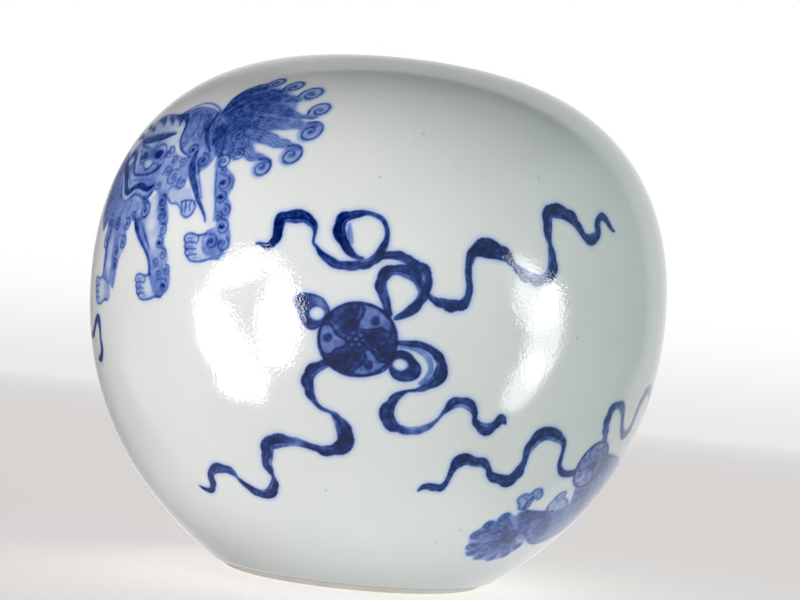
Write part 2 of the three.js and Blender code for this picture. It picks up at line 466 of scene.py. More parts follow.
    def hairs(self, guides, count, width=0.16, tone=0.6, stray=0.12, taper=0.5, wave=0.0):
        """Fine brush lines, a number of them between each guide line and the next, waving side by side."""
        lines = []
        for guide in guides:
            rows = np.asarray(guide, float)[:, :2]
            fine = smooth(rows, LINE_STEP)
            lines.append(at_runs(fine, np.linspace(0, run_of(fine)[-1], HAIR_POINTS)))
        shape = np.linspace(0, 1, HAIR_POINTS)
        for first, second in zip(lines, lines[1:]):
            for k in range(count):
                share = (k + chance.uniform(0.2, 0.8)) / count
                line = first + (second - first) * share
                start, stop = chance.uniform(0, 0.14), chance.uniform(0.8, 0.95)
                at = np.linspace(start, stop, WAVY_POINTS if wave else STRAIGHT_POINTS)
                line = np.stack([np.interp(at, shape, line[:, 0]), np.interp(at, shape, line[:, 1])], 1)
                line = line + chance.normal(0, stray * 0.4, 2)
                if wave:
                    run = run_of(line)
                    swing = 2 * math.pi * run / HAIR_WAVE + 1.2 * share + chance.uniform(-0.3, 0.3)
                    sway = wave * np.sin(swing)
                    line = line + sides_of(line) * (sway * np.clip(run / 2.5, 0, 1))[:, None]
                swell = width * chance.uniform(0.7, 1.3) * (1 - taper * np.abs(at * 2 - 1) ** 2)
                rows = np.column_stack([line, swell])
                self.stroke(rows, tone * chance.uniform(0.7, 1.15), streaks=0.25)

    def lock(self, spine, tone=0.5, count=4, wash=0.5):
        """A lock of hair along rows (x, y, width): a wash, and lines that wave together along it."""
        self.stroke(spine, wash * self.thin / self.load, soft=0.2, streaks=0.3)
        line = smooth(spine, LINE_STEP)
        run = run_of(line[:, :2])
        aside = sides_of(line[:, :2])
        waves = np.sin(2 * math.pi * run / LOCK_WAVE + chance.uniform(0, 6))
        sway = LOCK_SWAY * waves * np.clip(run / 2, 0, 1)
        for k in range(count):
            off = ((k + 0.5) / count - 0.5) * 0.95 * line[:, 2] + sway
            rows = np.column_stack([line[:, :2] + aside * off[:, None], np.full(len(line), LOCK_LINE)])
            first = int(chance.uniform(0, 0.12) * len(rows))
            self.stroke(rows[first::2], tone * chance.uniform(0.8, 1.15), streaks=0.25)

    def curl(self, x, y, radius, enter, spin, turns, width, tone, fill, eye=0.8):
        """A curl of hair: a line that winds in from its rim, a pale wash inside and a dark eye."""
        self.reserve(oval(x, y, radius, radius, 8, 5.5), keep=CURL_KEEP)
        if fill:
            self.dot(x, y, radius * 0.92, radius * 0.92, tone=fill, soft=0.2)
        rows = []
        for share in np.arange(CURL_STEPS + 1) / CURL_STEPS:
            angle = math.radians(enter) - spin * share * turns * 2 * math.pi
            r = radius * (1 - 0.68 * share)
            rows.append((x + r * math.cos(angle), y + r * math.sin(angle), width * (1 - 0.35 * share)))
        self.stroke(rows, tone)
        if eye:
            self.dot(x + radius * 0.05, y, radius * 0.22 + 0.06, radius * 0.17 + 0.05, tone=eye)

    def curls(self, rows, turns, **settings):
        """Curls at rows (x, y, radius, enter), with a -1 after them for one that winds the other way."""
        for x, y, radius, enter, *spin in rows:
            self.curl(x, y, radius, enter, spin[0] if spin else 1, turns, **settings)

    def dot(self, x, y, across, up=None, tone=0.8, soft=0.14):
        """A round or oval touch of the brush."""
        up = across if up is None else up
        (x, y), = self.place([(x, y)])
        across, up = across * self.scale, up * self.scale
        size = max(across, up) + 0.5
        rows, columns, nx, ny = self.patch((x - size, y - size), (x + size, y + size))
        gap = (np.hypot((nx - x) / across, (ny - y) / up) - 1) * min(across, up)
        self.lay(rows, columns, tone * self.load * coverage(gap, soft * self.melt))


def coverage(gap, soft):
    """1 inside an edge and 0 outside it, with a soft step where the cobalt has bled."""
    t = np.clip(0.5 - gap / (2 * soft), 0, 1)
    return t * t * (3 - 2 * t)


# The painting: balls and ribbons


def ribbon(brush, rows, tone=0.7, rim=0.22, streaks=0.2):
    """A silk ribbon of rows (x, y, width) or (x, y, width, tone): full cobalt, a darker rim, a fold."""
    filled = [(*row, tone) if len(row) == 3 else row for row in rows]
    brush.stroke(filled, soft=0.13, streaks=streaks, rim=rim, rough=0.06, fold=0.34)


def middle_ball(brush):
    """The ball between the lions: three dark commas and three pale ones swirl round a rosette."""
    x, y, across, up = (-1.87, 37.2, 4.25, 3.98)
    rim = oval(x, y, across, up, 24)
    brush.wash(rim, [
        (-3.2, 39.9, 0.8), (-2.7, 38.7, 0.9), (0, 37.3, 0.92), (1.3, 36.4, 0.72), (-4.4, 34.9, 0.95),
        (-2.6, 34.6, 0.78), (-4.4, 39.9, 0.66), (1.6, 37.8, 0.72), (-2, 37.2, 0.7), (0.6, 35.6, 0.8),
    ], uneven=0.2)
    commas = (
        [
            (-1.55, 41), (-1.38, 40.5), (-1.5, 39.9), (-1.8, 39.25), (-1.97, 38.7), (-1.75, 38.38),
            (-1, 38.38), (-0.12, 38.52), (0.5, 38.7), (0.9, 38.62), (1.25, 38.42), (1.65, 38.6),
            (1.72, 39.25), (1.35, 39.9), (0.6, 40.5), (-0.25, 40.88), (-1, 41.05),
        ],
        [
            (-5.88, 38.4), (-5.5, 38.6), (-5, 38.5), (-4.6, 38.1), (-4.3, 37.6), (-3.75, 37.3),
            (-3.25, 37.1), (-3.05, 36.75), (-3.25, 36.4), (-3.75, 36.1), (-4.1, 36), (-4.4, 35.6),
            (-4.75, 35.4), (-5.1, 35.3), (-5.5, 35.6), (-5.8, 36), (-6, 36.6), (-6.08, 37.3), (-6.02, 37.9),
        ],
        [
            (-0.6, 36.25), (-0.95, 36.05), (-0.8, 35.6), (-0.7, 35.2), (-0.95, 34.75), (-1.4, 34.3),
            (-1.75, 33.95), (-1.95, 33.6), (-1.6, 33.4), (-0.9, 33.32), (0, 33.5), (0.9, 33.85),
            (1.5, 34.3), (1.7, 34.75), (1.4, 35), (0.9, 35), (0.45, 35.3), (0.1, 35.75), (-0.2, 36.1),
        ],
    )
    for comma in commas:
        brush.reserve(comma)
        brush.wash(comma, 0.36, rim=0.05, uneven=0.15)
        brush.stroke(comma + comma[:2], 0.8, width=0.16)
    for line in (
        [(-2, 40.9), (-1.8, 40.3), (-2, 39.6), (-2.3, 39.1), (-2.5, 38.6)],
        [(-1.75, 38), (-0.5, 38.15), (0.25, 38.25), (0.75, 38.1), (1.25, 37.95), (1.9, 38.05)],
        [(-5.6, 38.8), (-5, 38.9), (-4.5, 38.55), (-4.1, 38), (-3.6, 37.65), (-3.1, 37.5)],
        [(-5, 35), (-4.5, 35.15), (-4.2, 35.5), (-3.9, 35.75), (-3.25, 35.95), (-2.9, 36.2)],
        [
            (-1.25, 36.45), (-1.35, 36), (-1.2, 35.55), (-1.15, 35.1), (-1.5, 34.7), (-1.95, 34.3),
            (-2.25, 33.8),
        ],
        [(0, 36.4), (0.4, 36), (0.6, 35.6), (1, 35.35), (1.5, 35.3), (1.95, 35.4)],
    ):
        groove = [(px - 0.07, py) for px, py in line] + [(px + 0.07, py + 0.05) for px, py in line[::-1]]
        brush.reserve(groove, keep=0.55)
    for px, py in ((-0.17, 39.4), (-5.12, 37.1), (-0.43, 34.6)):
        brush.dot(px, py, 0.5, tone=0.62)
        brush.dot(px, py, 0.26, tone=0.5)
    for px, py in (
        (-2.05, 37.25), (-1.5, 37.7), (-2.4, 37.9), (-2.85, 37.25), (-2.4, 36.6), (-1.6, 36.7),
        (-1.2, 37.2),
    ):
        petal = oval(px, py, 0.36, 0.3, 7, 5.4)
        brush.reserve(petal, keep=0.62)
        brush.stroke(petal + petal[:1], 0.9, width=0.12)
    brush.stroke([(*point, 0.3) for point in rim + rim[:2]], 0.75, streaks=0.25)


def ribbon_over_ball(brush):
    """The ribbon that loops to the left above the ball and crosses it to the right."""
    ribbon(brush, [
        (-14.3, 46.7, 0.2, 0.6), (-13.9, 46.7, 0.3), (-12.9, 46.5, 0.7), (-12.1, 47.2, 0.9, 0.85),
        (-11.93, 48, 1.05, 0.85), (-11.8, 49.2, 1.2, 0.8), (-11.5, 49.8, 1.3), (-10, 49.95, 1.4),
        (-9, 49.93, 1.15), (-8.17, 49.5, 1.1, 0.8), (-7.8, 49, 0.7), (-7.7, 48.2, 0.35, 0.6),
        (-7.75, 47.25, 0.3, 0.6), (-7.35, 46.8, 0.35, 0.6), (-6.9, 46.25, 0.5), (-6.35, 45.8, 0.7),
        (-5.65, 45.4, 0.85), (-4.65, 45.05, 0.9), (-3.45, 45.05, 0.9), (-2.55, 45.2, 0.95), (-1.4, 45.6, 1),
        (-0.7, 46.2, 0.95, 0.8), (-0.16, 47.3, 0.8, 0.8), (0.22, 48.45, 0.55), (0.07, 49.6, 0.45),
        (-0.5, 50.5, 0.5, 0.6), (-1.4, 50.9, 0.45, 0.5), (-2.3, 51, 0.55, 0.55), (-3.1, 50.8, 0.8, 0.65),
        (-4.1, 50.5, 0.9), (-4.8, 50.05, 1.2, 0.8), (-5.05, 49.1, 1.3, 0.85), (-4.8, 48.2, 1.2, 0.85),
        (-4.25, 47.3, 1, 0.8), (-3.55, 46.5, 0.75), (-2.8, 46.05, 0.5), (-2.2, 45.95, 0.3, 0.6),
    ])
    ribbon(brush, [
        (-3.95, 49.6, 0.3), (-3.9, 48.9, 0.55), (-3.75, 48.2, 0.6), (-3.6, 47.6, 0.45),
    ], 0.28, rim=0.05)


def ribbon_to_the_right(brush):
    """The ribbon from the ball's top that rises in waves to the upper right."""
    ribbon(brush, [
        (-0.05, 46.5, 0.8), (1.1, 46.65, 0.85), (2, 46.6, 0.95), (2.9, 46.2, 1), (3.8, 45.7, 1.1),
        (4.7, 45.3, 1.2), (5.1, 44.5, 0.9), (5.2, 43.7, 0.6), (5.07, 43, 0.4),
    ])
    ribbon(brush, [
        (1.2, 40.3, 0.8, 0.8), (0.75, 41.6, 0.9), (0.2, 42.8, 1.1), (0.07, 43.9, 1.2, 0.85),
        (0.75, 44.9, 1.2, 0.85), (1.8, 45.15, 1.15), (2.9, 44.9, 1.2), (3.8, 44.5, 1.2, 0.8),
        (4.4, 43.7, 1.1, 0.8), (4.7, 42.9, 1.1), (4.4, 41.9, 1.1), (3.6, 41, 1), (2.7, 40.3, 0.7),
        (2, 39.9, 0.35, 0.6),
    ])
    ribbon(brush, [
        (5.07, 43, 0.4), (5.4, 42.6, 0.5), (6.3, 42.15, 0.8), (7.2, 42, 1.1), (8.1, 41.9, 1.3, 0.85),
        (9, 42.1, 1.1, 0.85), (9.6, 42.8, 0.9), (9.8, 43.7, 0.75), (9.7, 44.6, 0.6), (9.5, 45.5, 0.7),
        (9.45, 46.6, 0.8), (9.8, 47.8, 1.1, 0.8), (10.5, 48.5, 1.8, 0.85), (11.3, 48.6, 2.1, 0.85),
        (13.26, 48.26, 1.5, 0.8), (14.3, 47.5, 0.9), (14.8, 47.1, 0.5), (15.5, 46.6, 1), (16.5, 46.1, 1.2),
        (18, 45.9, 1.2, 0.8), (19.2, 46.3, 1.2, 0.8), (19.85, 47.5, 1.3, 0.85), (19.7, 48.5, 1.1),
        (19.45, 49.45, 0.75), (19.25, 50.1, 0.5, 0.6), (18.9, 51, 0.85), (18.75, 51.95, 1.1),
        (18.65, 53, 1.2, 0.8), (18.8, 54, 1.4, 0.85), (19.6, 54.1, 1.7, 0.85), (20.9, 54.05, 1.55),
        (22.2, 53.6, 1.3), (23.1, 52.85, 1), (23.8, 52.1, 0.75), (24.45, 51.6, 0.9), (25.4, 51.55, 1.25),
        (26.3, 52.1, 1.2), (26.4, 53, 1), (26.4, 54.05, 0.95), (27.1, 54.55, 1), (28, 54.3, 0.8),
        (28.65, 53.65, 0.6), (29.2, 53.2, 0.35, 0.6), (29.6, 53.2, 0.15, 0.5),
    ])


def ribbon_right_of_ball(brush):
    """The ribbon that leaves the ball's right side, loops and falls in waves below it."""
    ribbon(brush, [
        (2.5, 37.3, 0.5), (3.6, 37.3, 0.6), (4.8, 37.35, 0.65), (6, 37, 0.75), (6.9, 36.4, 0.95, 0.8),
        (7.5, 35.6, 1.15, 0.8), (7.55, 34.8, 1.3, 0.85), (7.3, 34, 1.3, 0.85), (6.6, 33.2, 1.1),
        (5.7, 32.6, 0.7), (4.9, 32.3, 0.35), (4, 32.1, 0.3), (3.5, 31.8, 0.55), (2.9, 31.3, 0.85),
        (2.3, 30.4, 1.15, 0.8), (2.1, 29.4, 1.5, 0.88), (2.4, 28.4, 1.5, 0.88), (3.2, 27.8, 1, 0.8),
        (4, 27.6, 0.9, 0.6), (5, 27.55, 0.9, 0.4), (6, 27.85, 0.8, 0.45), (6.8, 28.3, 0.6, 0.5),
        (7.4, 28.8, 0.4, 0.5), (7.9, 29.4, 0.3, 0.45), (8.2, 29.9, 0.35, 0.6), (8.6, 30.4, 0.55, 0.85),
        (9.1, 31, 0.95, 0.8), (9.8, 31.4, 1.15), (10.6, 31.45, 1.2, 0.65), (11.4, 31.1, 1.1, 0.65),
        (11.9, 30.5, 0.7, 0.75), (12, 29.9, 0.45, 0.8), (12.1, 29.4, 0.7, 0.8), (12.7, 28.85, 1.1, 0.7),
        (13.5, 28.6, 1.35, 0.6), (14.3, 28.9, 1.15, 0.6), (14.9, 29.5, 0.9, 0.7), (15.3, 30, 0.95, 0.75),
        (15.6, 29.8, 0.7), (15.9, 29.45, 0.2),
    ])
    ribbon(brush, [
        (2.8, 36.9, 0.3), (4.2, 36.85, 0.45), (5.4, 36.4, 0.6), (6.2, 35.6, 0.65), (6.4, 34.7, 0.6),
        (6, 33.8, 0.55), (5.4, 33.1, 0.35),
    ], 0.3, rim=0.05)
    bow_ring(brush, [
        (1.9, 35.9), (2.4, 36.35), (3.2, 36.45), (4, 36.15), (4.55, 35.6), (5.15, 35), (5.25, 34.3),
        (4.9, 33.65), (4.2, 33.3), (3.3, 33.2), (2.4, 33.5), (1.95, 34.2), (1.8, 35),
    ], (3, 34.95, 0.75, 0.58), [(4.4, 34.5, 0.82), (2.6, 33.8, 0.72), (2.8, 36.1, 0.72), (4.9, 34.9, 0.7)])


def bow_ring(brush, outline, hole, tones):
    """A small turn of ribbon seen end on: a filled outline round a bare hole with a fine line inside it."""
    x, y, across, up = hole
    edge = oval(x, y, across * 1.3, up * 1.3, 13, 6)
    brush.wash(outline, tones, rim=0.16)
    brush.stroke(outline + outline[:2], 0.6, width=0.16)
    brush.reserve(oval(x, y, across * 1.35, up * 1.35, 13, 6), keep=0.45)
    brush.stroke(edge + edge[:1], 0.6, width=0.12)
    brush.reserve(oval(x, y, across, up, 13, 6))


def ribbon_left_of_ball(brush):
    """The ribbon that leaves the ball's lower left and runs down to the left in waves."""
    ribbon(brush, [
        (-5.07, 34.3, 1), (-6.1, 33.7, 1.2, 0.8), (-6.8, 32.8, 1.3, 0.85), (-6.8, 31.7, 1.2, 0.8),
        (-6.4, 30.7, 0.9), (-5.9, 29.9, 0.55), (-5.1, 29.2, 0.35, 0.6), (-4.05, 28.85, 0.35, 0.45),
        (-3.4, 28.4, 0.8, 0.6), (-2.8, 27.6, 1.3), (-2.35, 26.7, 1.7, 0.8), (-2.05, 25.8, 1.9, 0.88),
        (-2.45, 24.9, 1.7, 0.88), (-3.4, 24.3, 1.3, 0.82), (-4.3, 24.15, 1.1, 0.8),
        (-5.2, 24.35, 0.75, 0.82), (-6.1, 24.55, 0.65, 0.7), (-7.1, 24.8, 0.9, 0.5),
        (-8.1, 24.85, 1.1, 0.5), (-9, 24.8, 1.4, 0.65), (-9.95, 24.7, 1.9, 0.85), (-10.85, 24.2, 1.5, 0.88),
        (-10.85, 23.3, 1.35, 0.8), (-10.9, 22.35, 1.35), (-10.75, 21.45, 1), (-10.3, 20.55, 0.6),
        (-10.05, 20.1, 0.35, 0.6), (-9.85, 19.4, 0.7), (-9.85, 18.5, 1.2, 0.8), (-10.2, 17.7, 1.3, 0.8),
        (-11.1, 17.25, 1.25), (-12.1, 17.55, 0.9), (-13, 18.05, 0.7, 0.75), (-13.8, 18.6, 0.45, 0.75),
        (-14.5, 19.2, 0.35, 0.4), (-15.07, 19.75, 0.65, 0.55), (-15.9, 20.2, 1), (-16.8, 20.2, 1.2),
        (-17.6, 20.05, 1.3, 0.75), (-18.25, 19.4, 1.1), (-18.2, 18.5, 0.95), (-18, 17.6, 1),
        (-18.25, 16.8, 0.9), (-19.05, 16.75, 0.6), (-19.7, 16.9, 0.35), (-20.2, 17.15, 0.2, 0.5),
    ])
    bow_ring(brush, [
        (-5.3, 39.2), (-5.25, 40.1), (-5.8, 41), (-6.5, 41.45), (-7.6, 41.65), (-8.6, 41.55), (-9.3, 41),
        (-9.1, 40.3), (-8.6, 39.7), (-8.2, 38.9), (-7.8, 38.3), (-7.2, 37.9), (-6.6, 37.95), (-6, 38.4),
    ], (-6.55, 39.6, 0.75, 0.65), [
        (-8.4, 40.9, 0.85), (-7.9, 39, 0.75), (-6.3, 41, 0.32), (-5.7, 40.2, 0.4), (-6.8, 38.2, 0.7),
    ])


def ribbon_below(brush):
    """The ribbon that starts by itself below the ball and runs up to the second ball."""
    ribbon(brush, [
        (6.5, 20.05, 0.25, 0.5), (7.2, 20.7, 0.7), (8.2, 20.7, 0.95), (9, 20.7, 0.9), (9.55, 21.3, 0.6),
        (9.85, 22.2, 0.55), (10.15, 23.2, 0.8), (10.6, 24.1, 1.2, 0.8), (11.6, 24.7, 1.35, 0.85),
        (12.8, 24.5, 1.2), (13.8, 24.4, 1.1), (14.55, 23.8, 0.7), (14.85, 23.05, 0.9), (15.7, 22.6, 1.2),
        (17.05, 22.3, 1.5, 0.8), (18.1, 22.75, 1.4, 0.85), (18.8, 23.8, 1.2, 0.8), (19.25, 24.95, 0.8),
        (19.4, 26.15, 0.9), (19.85, 27.2, 1.3, 0.8), (20.75, 28.2, 1.5, 0.85), (22.05, 28.8, 1.7, 0.85),
        (23.4, 28.5, 1.4), (24.55, 28.05, 1.1), (25, 27.2, 0.6), (24.95, 26, 0.5), (25, 24.8, 0.7),
        (25.6, 24, 0.85), (26.75, 23.7, 0.9, 0.65), (28.1, 23.95, 0.8, 0.6), (28.7, 24.4, 0.6, 0.6),
    ])


def second_ball(brush):
    """The ball that the second lion plays with, and its ribbon, which waves away to the right."""
    ribbon(brush, [
        (2.9, 28.3, 0.9), (2.5, 29.2, 1.05), (1.8, 30.1, 1.2), (1.55, 31.1, 1.3, 0.85),
        (1.6, 32.2, 1.2, 0.8), (2.4, 32.9, 1), (3.6, 32.95, 1), (4.7, 32.3, 0.9), (5.6, 31.1, 0.7),
        (6.5, 30, 0.8), (7.8, 29.35, 1), (8.9, 29.45, 1.1), (9.65, 30.4, 1), (9.85, 31.8, 0.8),
        (10.05, 33.1, 1), (10.8, 34.3, 1.2), (12, 35.05, 1.3), (13.5, 35.2, 1.2), (14.8, 34.6, 1),
        (15.6, 33.6, 0.75), (16.3, 32.5, 0.9), (17.4, 32, 1.15), (18.8, 32.4, 1.2), (19.6, 33.4, 0.9),
        (20.2, 34.4, 0.7), (21.2, 35, 0.95), (22.6, 34.8, 0.8), (23.6, 34, 0.5), (24.2, 33.4, 0.15),
    ], 0.66)
    x, y, radius = (2.65, 25.1, 3.15)
    rim = oval(x, y, radius, radius, 20)
    brush.reserve(rim)
    brush.wash(rim, [
        (2.3, 22.9, 0.2), (0.6, 24.6, 0.42), (2.6, 27.4, 0.5), (4.9, 25.6, 0.55), (4.4, 23.6, 0.5),
        (2.9, 25.1, 0.6),
    ])
    petals = 6
    for k in range(petals):
        a = 2 * math.pi * k / petals + 0.3
        reach = [
            (x + radius * r * math.cos(a + d), y + radius * r * math.sin(a + d))
            for r, d in ((0.3, 0), (0.55, 0.16), (0.78, 0.05), (0.93, -0.2))
        ]
        brush.stroke([(*point, 0.26) for point in reach], 0.45)
        off = radius * 0.68
        brush.dot(x + off * math.cos(a + 0.5), y + off * math.sin(a + 0.5), 0.42, 0.34, tone=0.3)
    brush.dot(2.95, 25.0, 0.75, 0.6, tone=0.8, soft=0.3)
    brush.stroke([(*point, 0.34) for point in rim + rim[:2]], 0.7, streaks=0.25)


def ribbon_at_the_far_left(brush):
    """The end of a ribbon that comes round from the back under the first lion's far paw."""
    ribbon(brush, [
        (-16.5, 35.2, 0.2), (-15.2, 35.4, 0.6), (-13.6, 35.6, 0.8), (-12.3, 36.6, 0.9), (-11.1, 37.4, 1),
        (-10.2, 37.1, 1.05), (-9.8, 36.1, 0.8), (-9.8, 35, 0.6), (-9.6, 34, 0.9), (-9.8, 33.1, 1),
        (-10.8, 32.5, 0.8), (-12, 32.4, 0.3),
    ])


# The painting: lions


def lion_tail(brush):
    """The bushy tail: one mass of hair that fans from its root and breaks into curls round the rim."""
    brush.wash([
        (7.3, 62.6), (7, 64), (6.98, 65.4), (7.4, 66.5), (8.2, 67.4), (9.2, 67.9), (10.8, 67.6), (12.6, 67),
        (14.3, 66.2), (16, 65.2), (16.6, 64), (17, 62.6), (16.4, 61), (15.4, 59.4), (14.2, 58),
        (12.6, 57.2), (10.8, 56.9), (9.8, 57.8), (8.9, 59.2), (7.9, 60.8),
    ], [
        (8, 66, 0.85), (9.5, 64.6, 0.9), (12.5, 65.8, 0.9), (15, 65.3, 0.6), (9.5, 63.2, 0.8),
        (12.8, 62.4, 0.7), (15.5, 63.8, 0.6), (14.5, 60.8, 0.4), (11.2, 60.2, 0.6), (9, 61, 0.7),
        (12, 58.2, 0.5), (11.2, 57, 0.5),
    ], soft=0.4, rim=0)
    brush.stroke([
        (7.15, 63.2, 0.2), (7, 64.3, 0.32), (7, 65.4, 0.4), (7.4, 66.5, 0.42), (8.2, 67.4, 0.38),
        (9, 67.9, 0.32), (9.9, 68.2, 0.25),
    ], 0.85)
    for lock in (
        [(7.2, 62.8, 1), (7.6, 65, 1.2), (8.5, 66.5, 1.1), (9.9, 67.3, 0.8), (10.6, 67.4, 0.5)],
        [(7.6, 62.7, 1.2), (9, 64.7, 1.7), (10.8, 66, 1.6), (12.6, 66.6, 0.9), (13.6, 66.6, 0.5)],
        [(8.2, 62.6, 1.2), (10.2, 64.2, 1.8), (12.8, 65.2, 1.8), (15, 65.3, 1.2), (16.4, 64.95, 0.5)],
        [
            (8.6, 62.3, 1.2), (11.6, 63.4, 1.8), (14.4, 63.6, 1.8), (16.7, 62.7, 1.2), (18.8, 62.35, 0.6),
            (19.9, 62.5, 0.4),
        ],
        [
            (9.3, 62, 1.2), (12.6, 61.6, 1.9), (15.2, 61.3, 1.9), (17.3, 61.2, 1.6), (19.3, 61.2, 1.1),
            (20.7, 61.2, 0.6),
        ],
        [
            (9.9, 61.4, 1.2), (12.8, 60.2, 1.7), (15.2, 59.4, 1.8), (17.2, 58.7, 1.5), (19, 58.3, 1),
            (20.2, 57.9, 0.6),
        ],
        [
            (9.6, 61, 1.2), (11.8, 59.6, 1.6), (13.2, 58, 1.7), (14.8, 56.9, 1.4), (16.3, 56.6, 0.8),
            (17.3, 56.2, 0.5),
        ],
        [(8.8, 61, 1.2), (10.2, 59.2, 1.5), (11.6, 57.6, 1.3), (12.6, 56.6, 0.8)],
        [(8, 60.6, 0.9), (8.9, 59, 1.2), (10.1, 57.4, 1.1), (10.8, 56.4, 0.7)],
    ):
        brush.lock(lock)
    brush.curls([
        (9.8, 63.2, 0.8, 200), (11.1, 63.8, 0.6, 160), (12.8, 63.1, 0.7, 150), (12, 62.3, 0.55, 200),
        (13.1, 61.5, 0.75, 100), (11.7, 59.6, 0.9, 200), (10.2, 60.6, 0.6, 170), (12.9, 57, 0.85, 120),
        (11.3, 56, 1, 120), (9.3, 58.5, 0.75, 190),
    ], 1.3, width=0.24, tone=0.7, fill=0.1, eye=0.5)
    brush.curls([
        (11, 68.3, 1.15, 215), (13.9, 67.55, 1.25, 215), (17, 66.2, 1.45, 200), (19.7, 63.6, 1.3, 215),
        (20.3, 60.3, 1.55, 125), (19.5, 57.1, 1.45, 125), (16.6, 55.4, 1.3, 125),
    ], 1.25, width=0.25, tone=0.85, fill=0.25, eye=0.55)


def lion_mane(brush):
    """The hair behind the head, the rump, and the rows of curls beside the cheek."""
    brush.wash([
        (-1.2, 63.2), (0, 63.8), (1.4, 64.3), (3, 64.3), (4.8, 63.9), (6.2, 63.3), (7.4, 62.6), (7.7, 61.2),
        (8.8, 59.6), (9.6, 58.3), (10, 57.3), (9.4, 55.6), (8.6, 54.9), (7.7, 54.2), (7, 55.6), (6.7, 57.4),
        (6.4, 58), (5, 57), (3.6, 57.8), (2.7, 58.9), (2.3, 60.2), (1.7, 61.7), (0.6, 62.7),
    ], [
        (0, 63.3, 0.8), (2.6, 63.6, 0.75), (4.6, 63.2, 0.68), (3.6, 61.2, 0.5), (5.4, 60.4, 0.52),
        (4.3, 58.6, 0.45), (6.8, 60.3, 0.8), (7.8, 61.2, 0.6), (8.3, 58.4, 0.5), (8, 55.6, 0.55),
        (7.2, 57.4, 0.6),
    ])
    brush.hairs([
        [(1.2, 63.9), (2.4, 61.8), (2.9, 60), (3.9, 58.2)],
        [(2.6, 64), (3.9, 62.2), (4.2, 60), (4.9, 58.4)],
        [(4.2, 63.8), (5.2, 62), (5.4, 60.2), (5.8, 58.6)],
        [(5.6, 63.2), (6.1, 61.8), (6.2, 60.4), (6.4, 58.8)],
    ], 6, width=0.12, tone=0.5, wave=0.09)
    brush.hairs([
        [(6.4, 62.6), (6.8, 60.8), (8, 58.8), (9.3, 57)], [(7.2, 62.4), (7.8, 61), (9, 59.4), (9.9, 57.6)],
        [(7.6, 62.2), (8.6, 61.2), (9.8, 60.2), (10.6, 58.6)],
    ], 6, width=0.12, tone=0.5, wave=0.09)
    brush.stroke([
        (6.4, 63, 0.3), (6.35, 61.6, 0.4), (6.45, 60.5, 0.6), (7, 59.4, 0.6), (7.9, 58.3, 0.4),
        (8.7, 57.4, 0.25),
    ], 0.82)
    brush.stroke([
        (-0.6, 63.6, 0.25), (0.6, 64.4, 0.25), (2.3, 64.9, 0.28), (4, 64.7, 0.28), (5.6, 64, 0.28),
        (6.9, 63.1, 0.25),
    ], 0.55)
    brush.stroke([
        (-0.9, 63.2, 0.5), (0.3, 63, 0.9), (1.2, 62.4, 0.7), (2, 61.4, 0.45), (2.3, 60.2, 0.35),
        (2.7, 59, 0.35), (3.6, 57.9, 0.32), (4.8, 57.2, 0.3), (5.6, 57, 0.25),
    ], 0.78)
    brush.curl(5.75, 57.7, 1.0, 250, -1, 1.2, width=0.28, tone=0.6, fill=0.22)
    brush.curl(8.15, 56.2, 1.0, 100, 1, 1.2, width=0.28, tone=0.62, fill=0.3)
    brush.wash([
        (0.6, 57.2), (1.4, 58.3), (2.4, 57.9), (3.4, 57.2), (4.8, 56.8), (6.4, 56.6), (6.9, 55.4),
        (7, 54.2), (6, 52.7), (4.6, 52.9), (4.3, 51.6), (5, 50.2), (5.4, 48.6), (4, 48.6), (3, 50.2),
        (2.6, 52), (1.4, 52.8), (0.9, 54.6), (1, 56),
    ], [
        (1.6, 57.3, 0.35), (3.6, 56.4, 0.55), (5.6, 55.8, 0.55), (2, 55.2, 0.58), (4.6, 54.4, 0.5),
        (6.4, 54, 0.5), (2, 53.6, 0.55), (3.6, 51.4, 0.5), (4.4, 49.6, 0.5),
    ])
    brush.curls([
        (1.7, 57.45, 0.95, 120), (3.5, 58.6, 0.6, 60), (2.9, 54.9, 0.85, 200), (4.2, 54.1, 1.15, 60, -1),
        (6.1, 53.4, 0.85, 120, -1), (1.9, 53.3, 0.7, 160, -1), (3.6, 51.3, 0.8, 90), (4.1, 49.6, 0.7, 120),
        (5, 55.9, 0.7, 160), (3.2, 56.4, 0.6, 140),
    ], 1.15, width=0.22, tone=0.6, fill=0.12, eye=0.5)


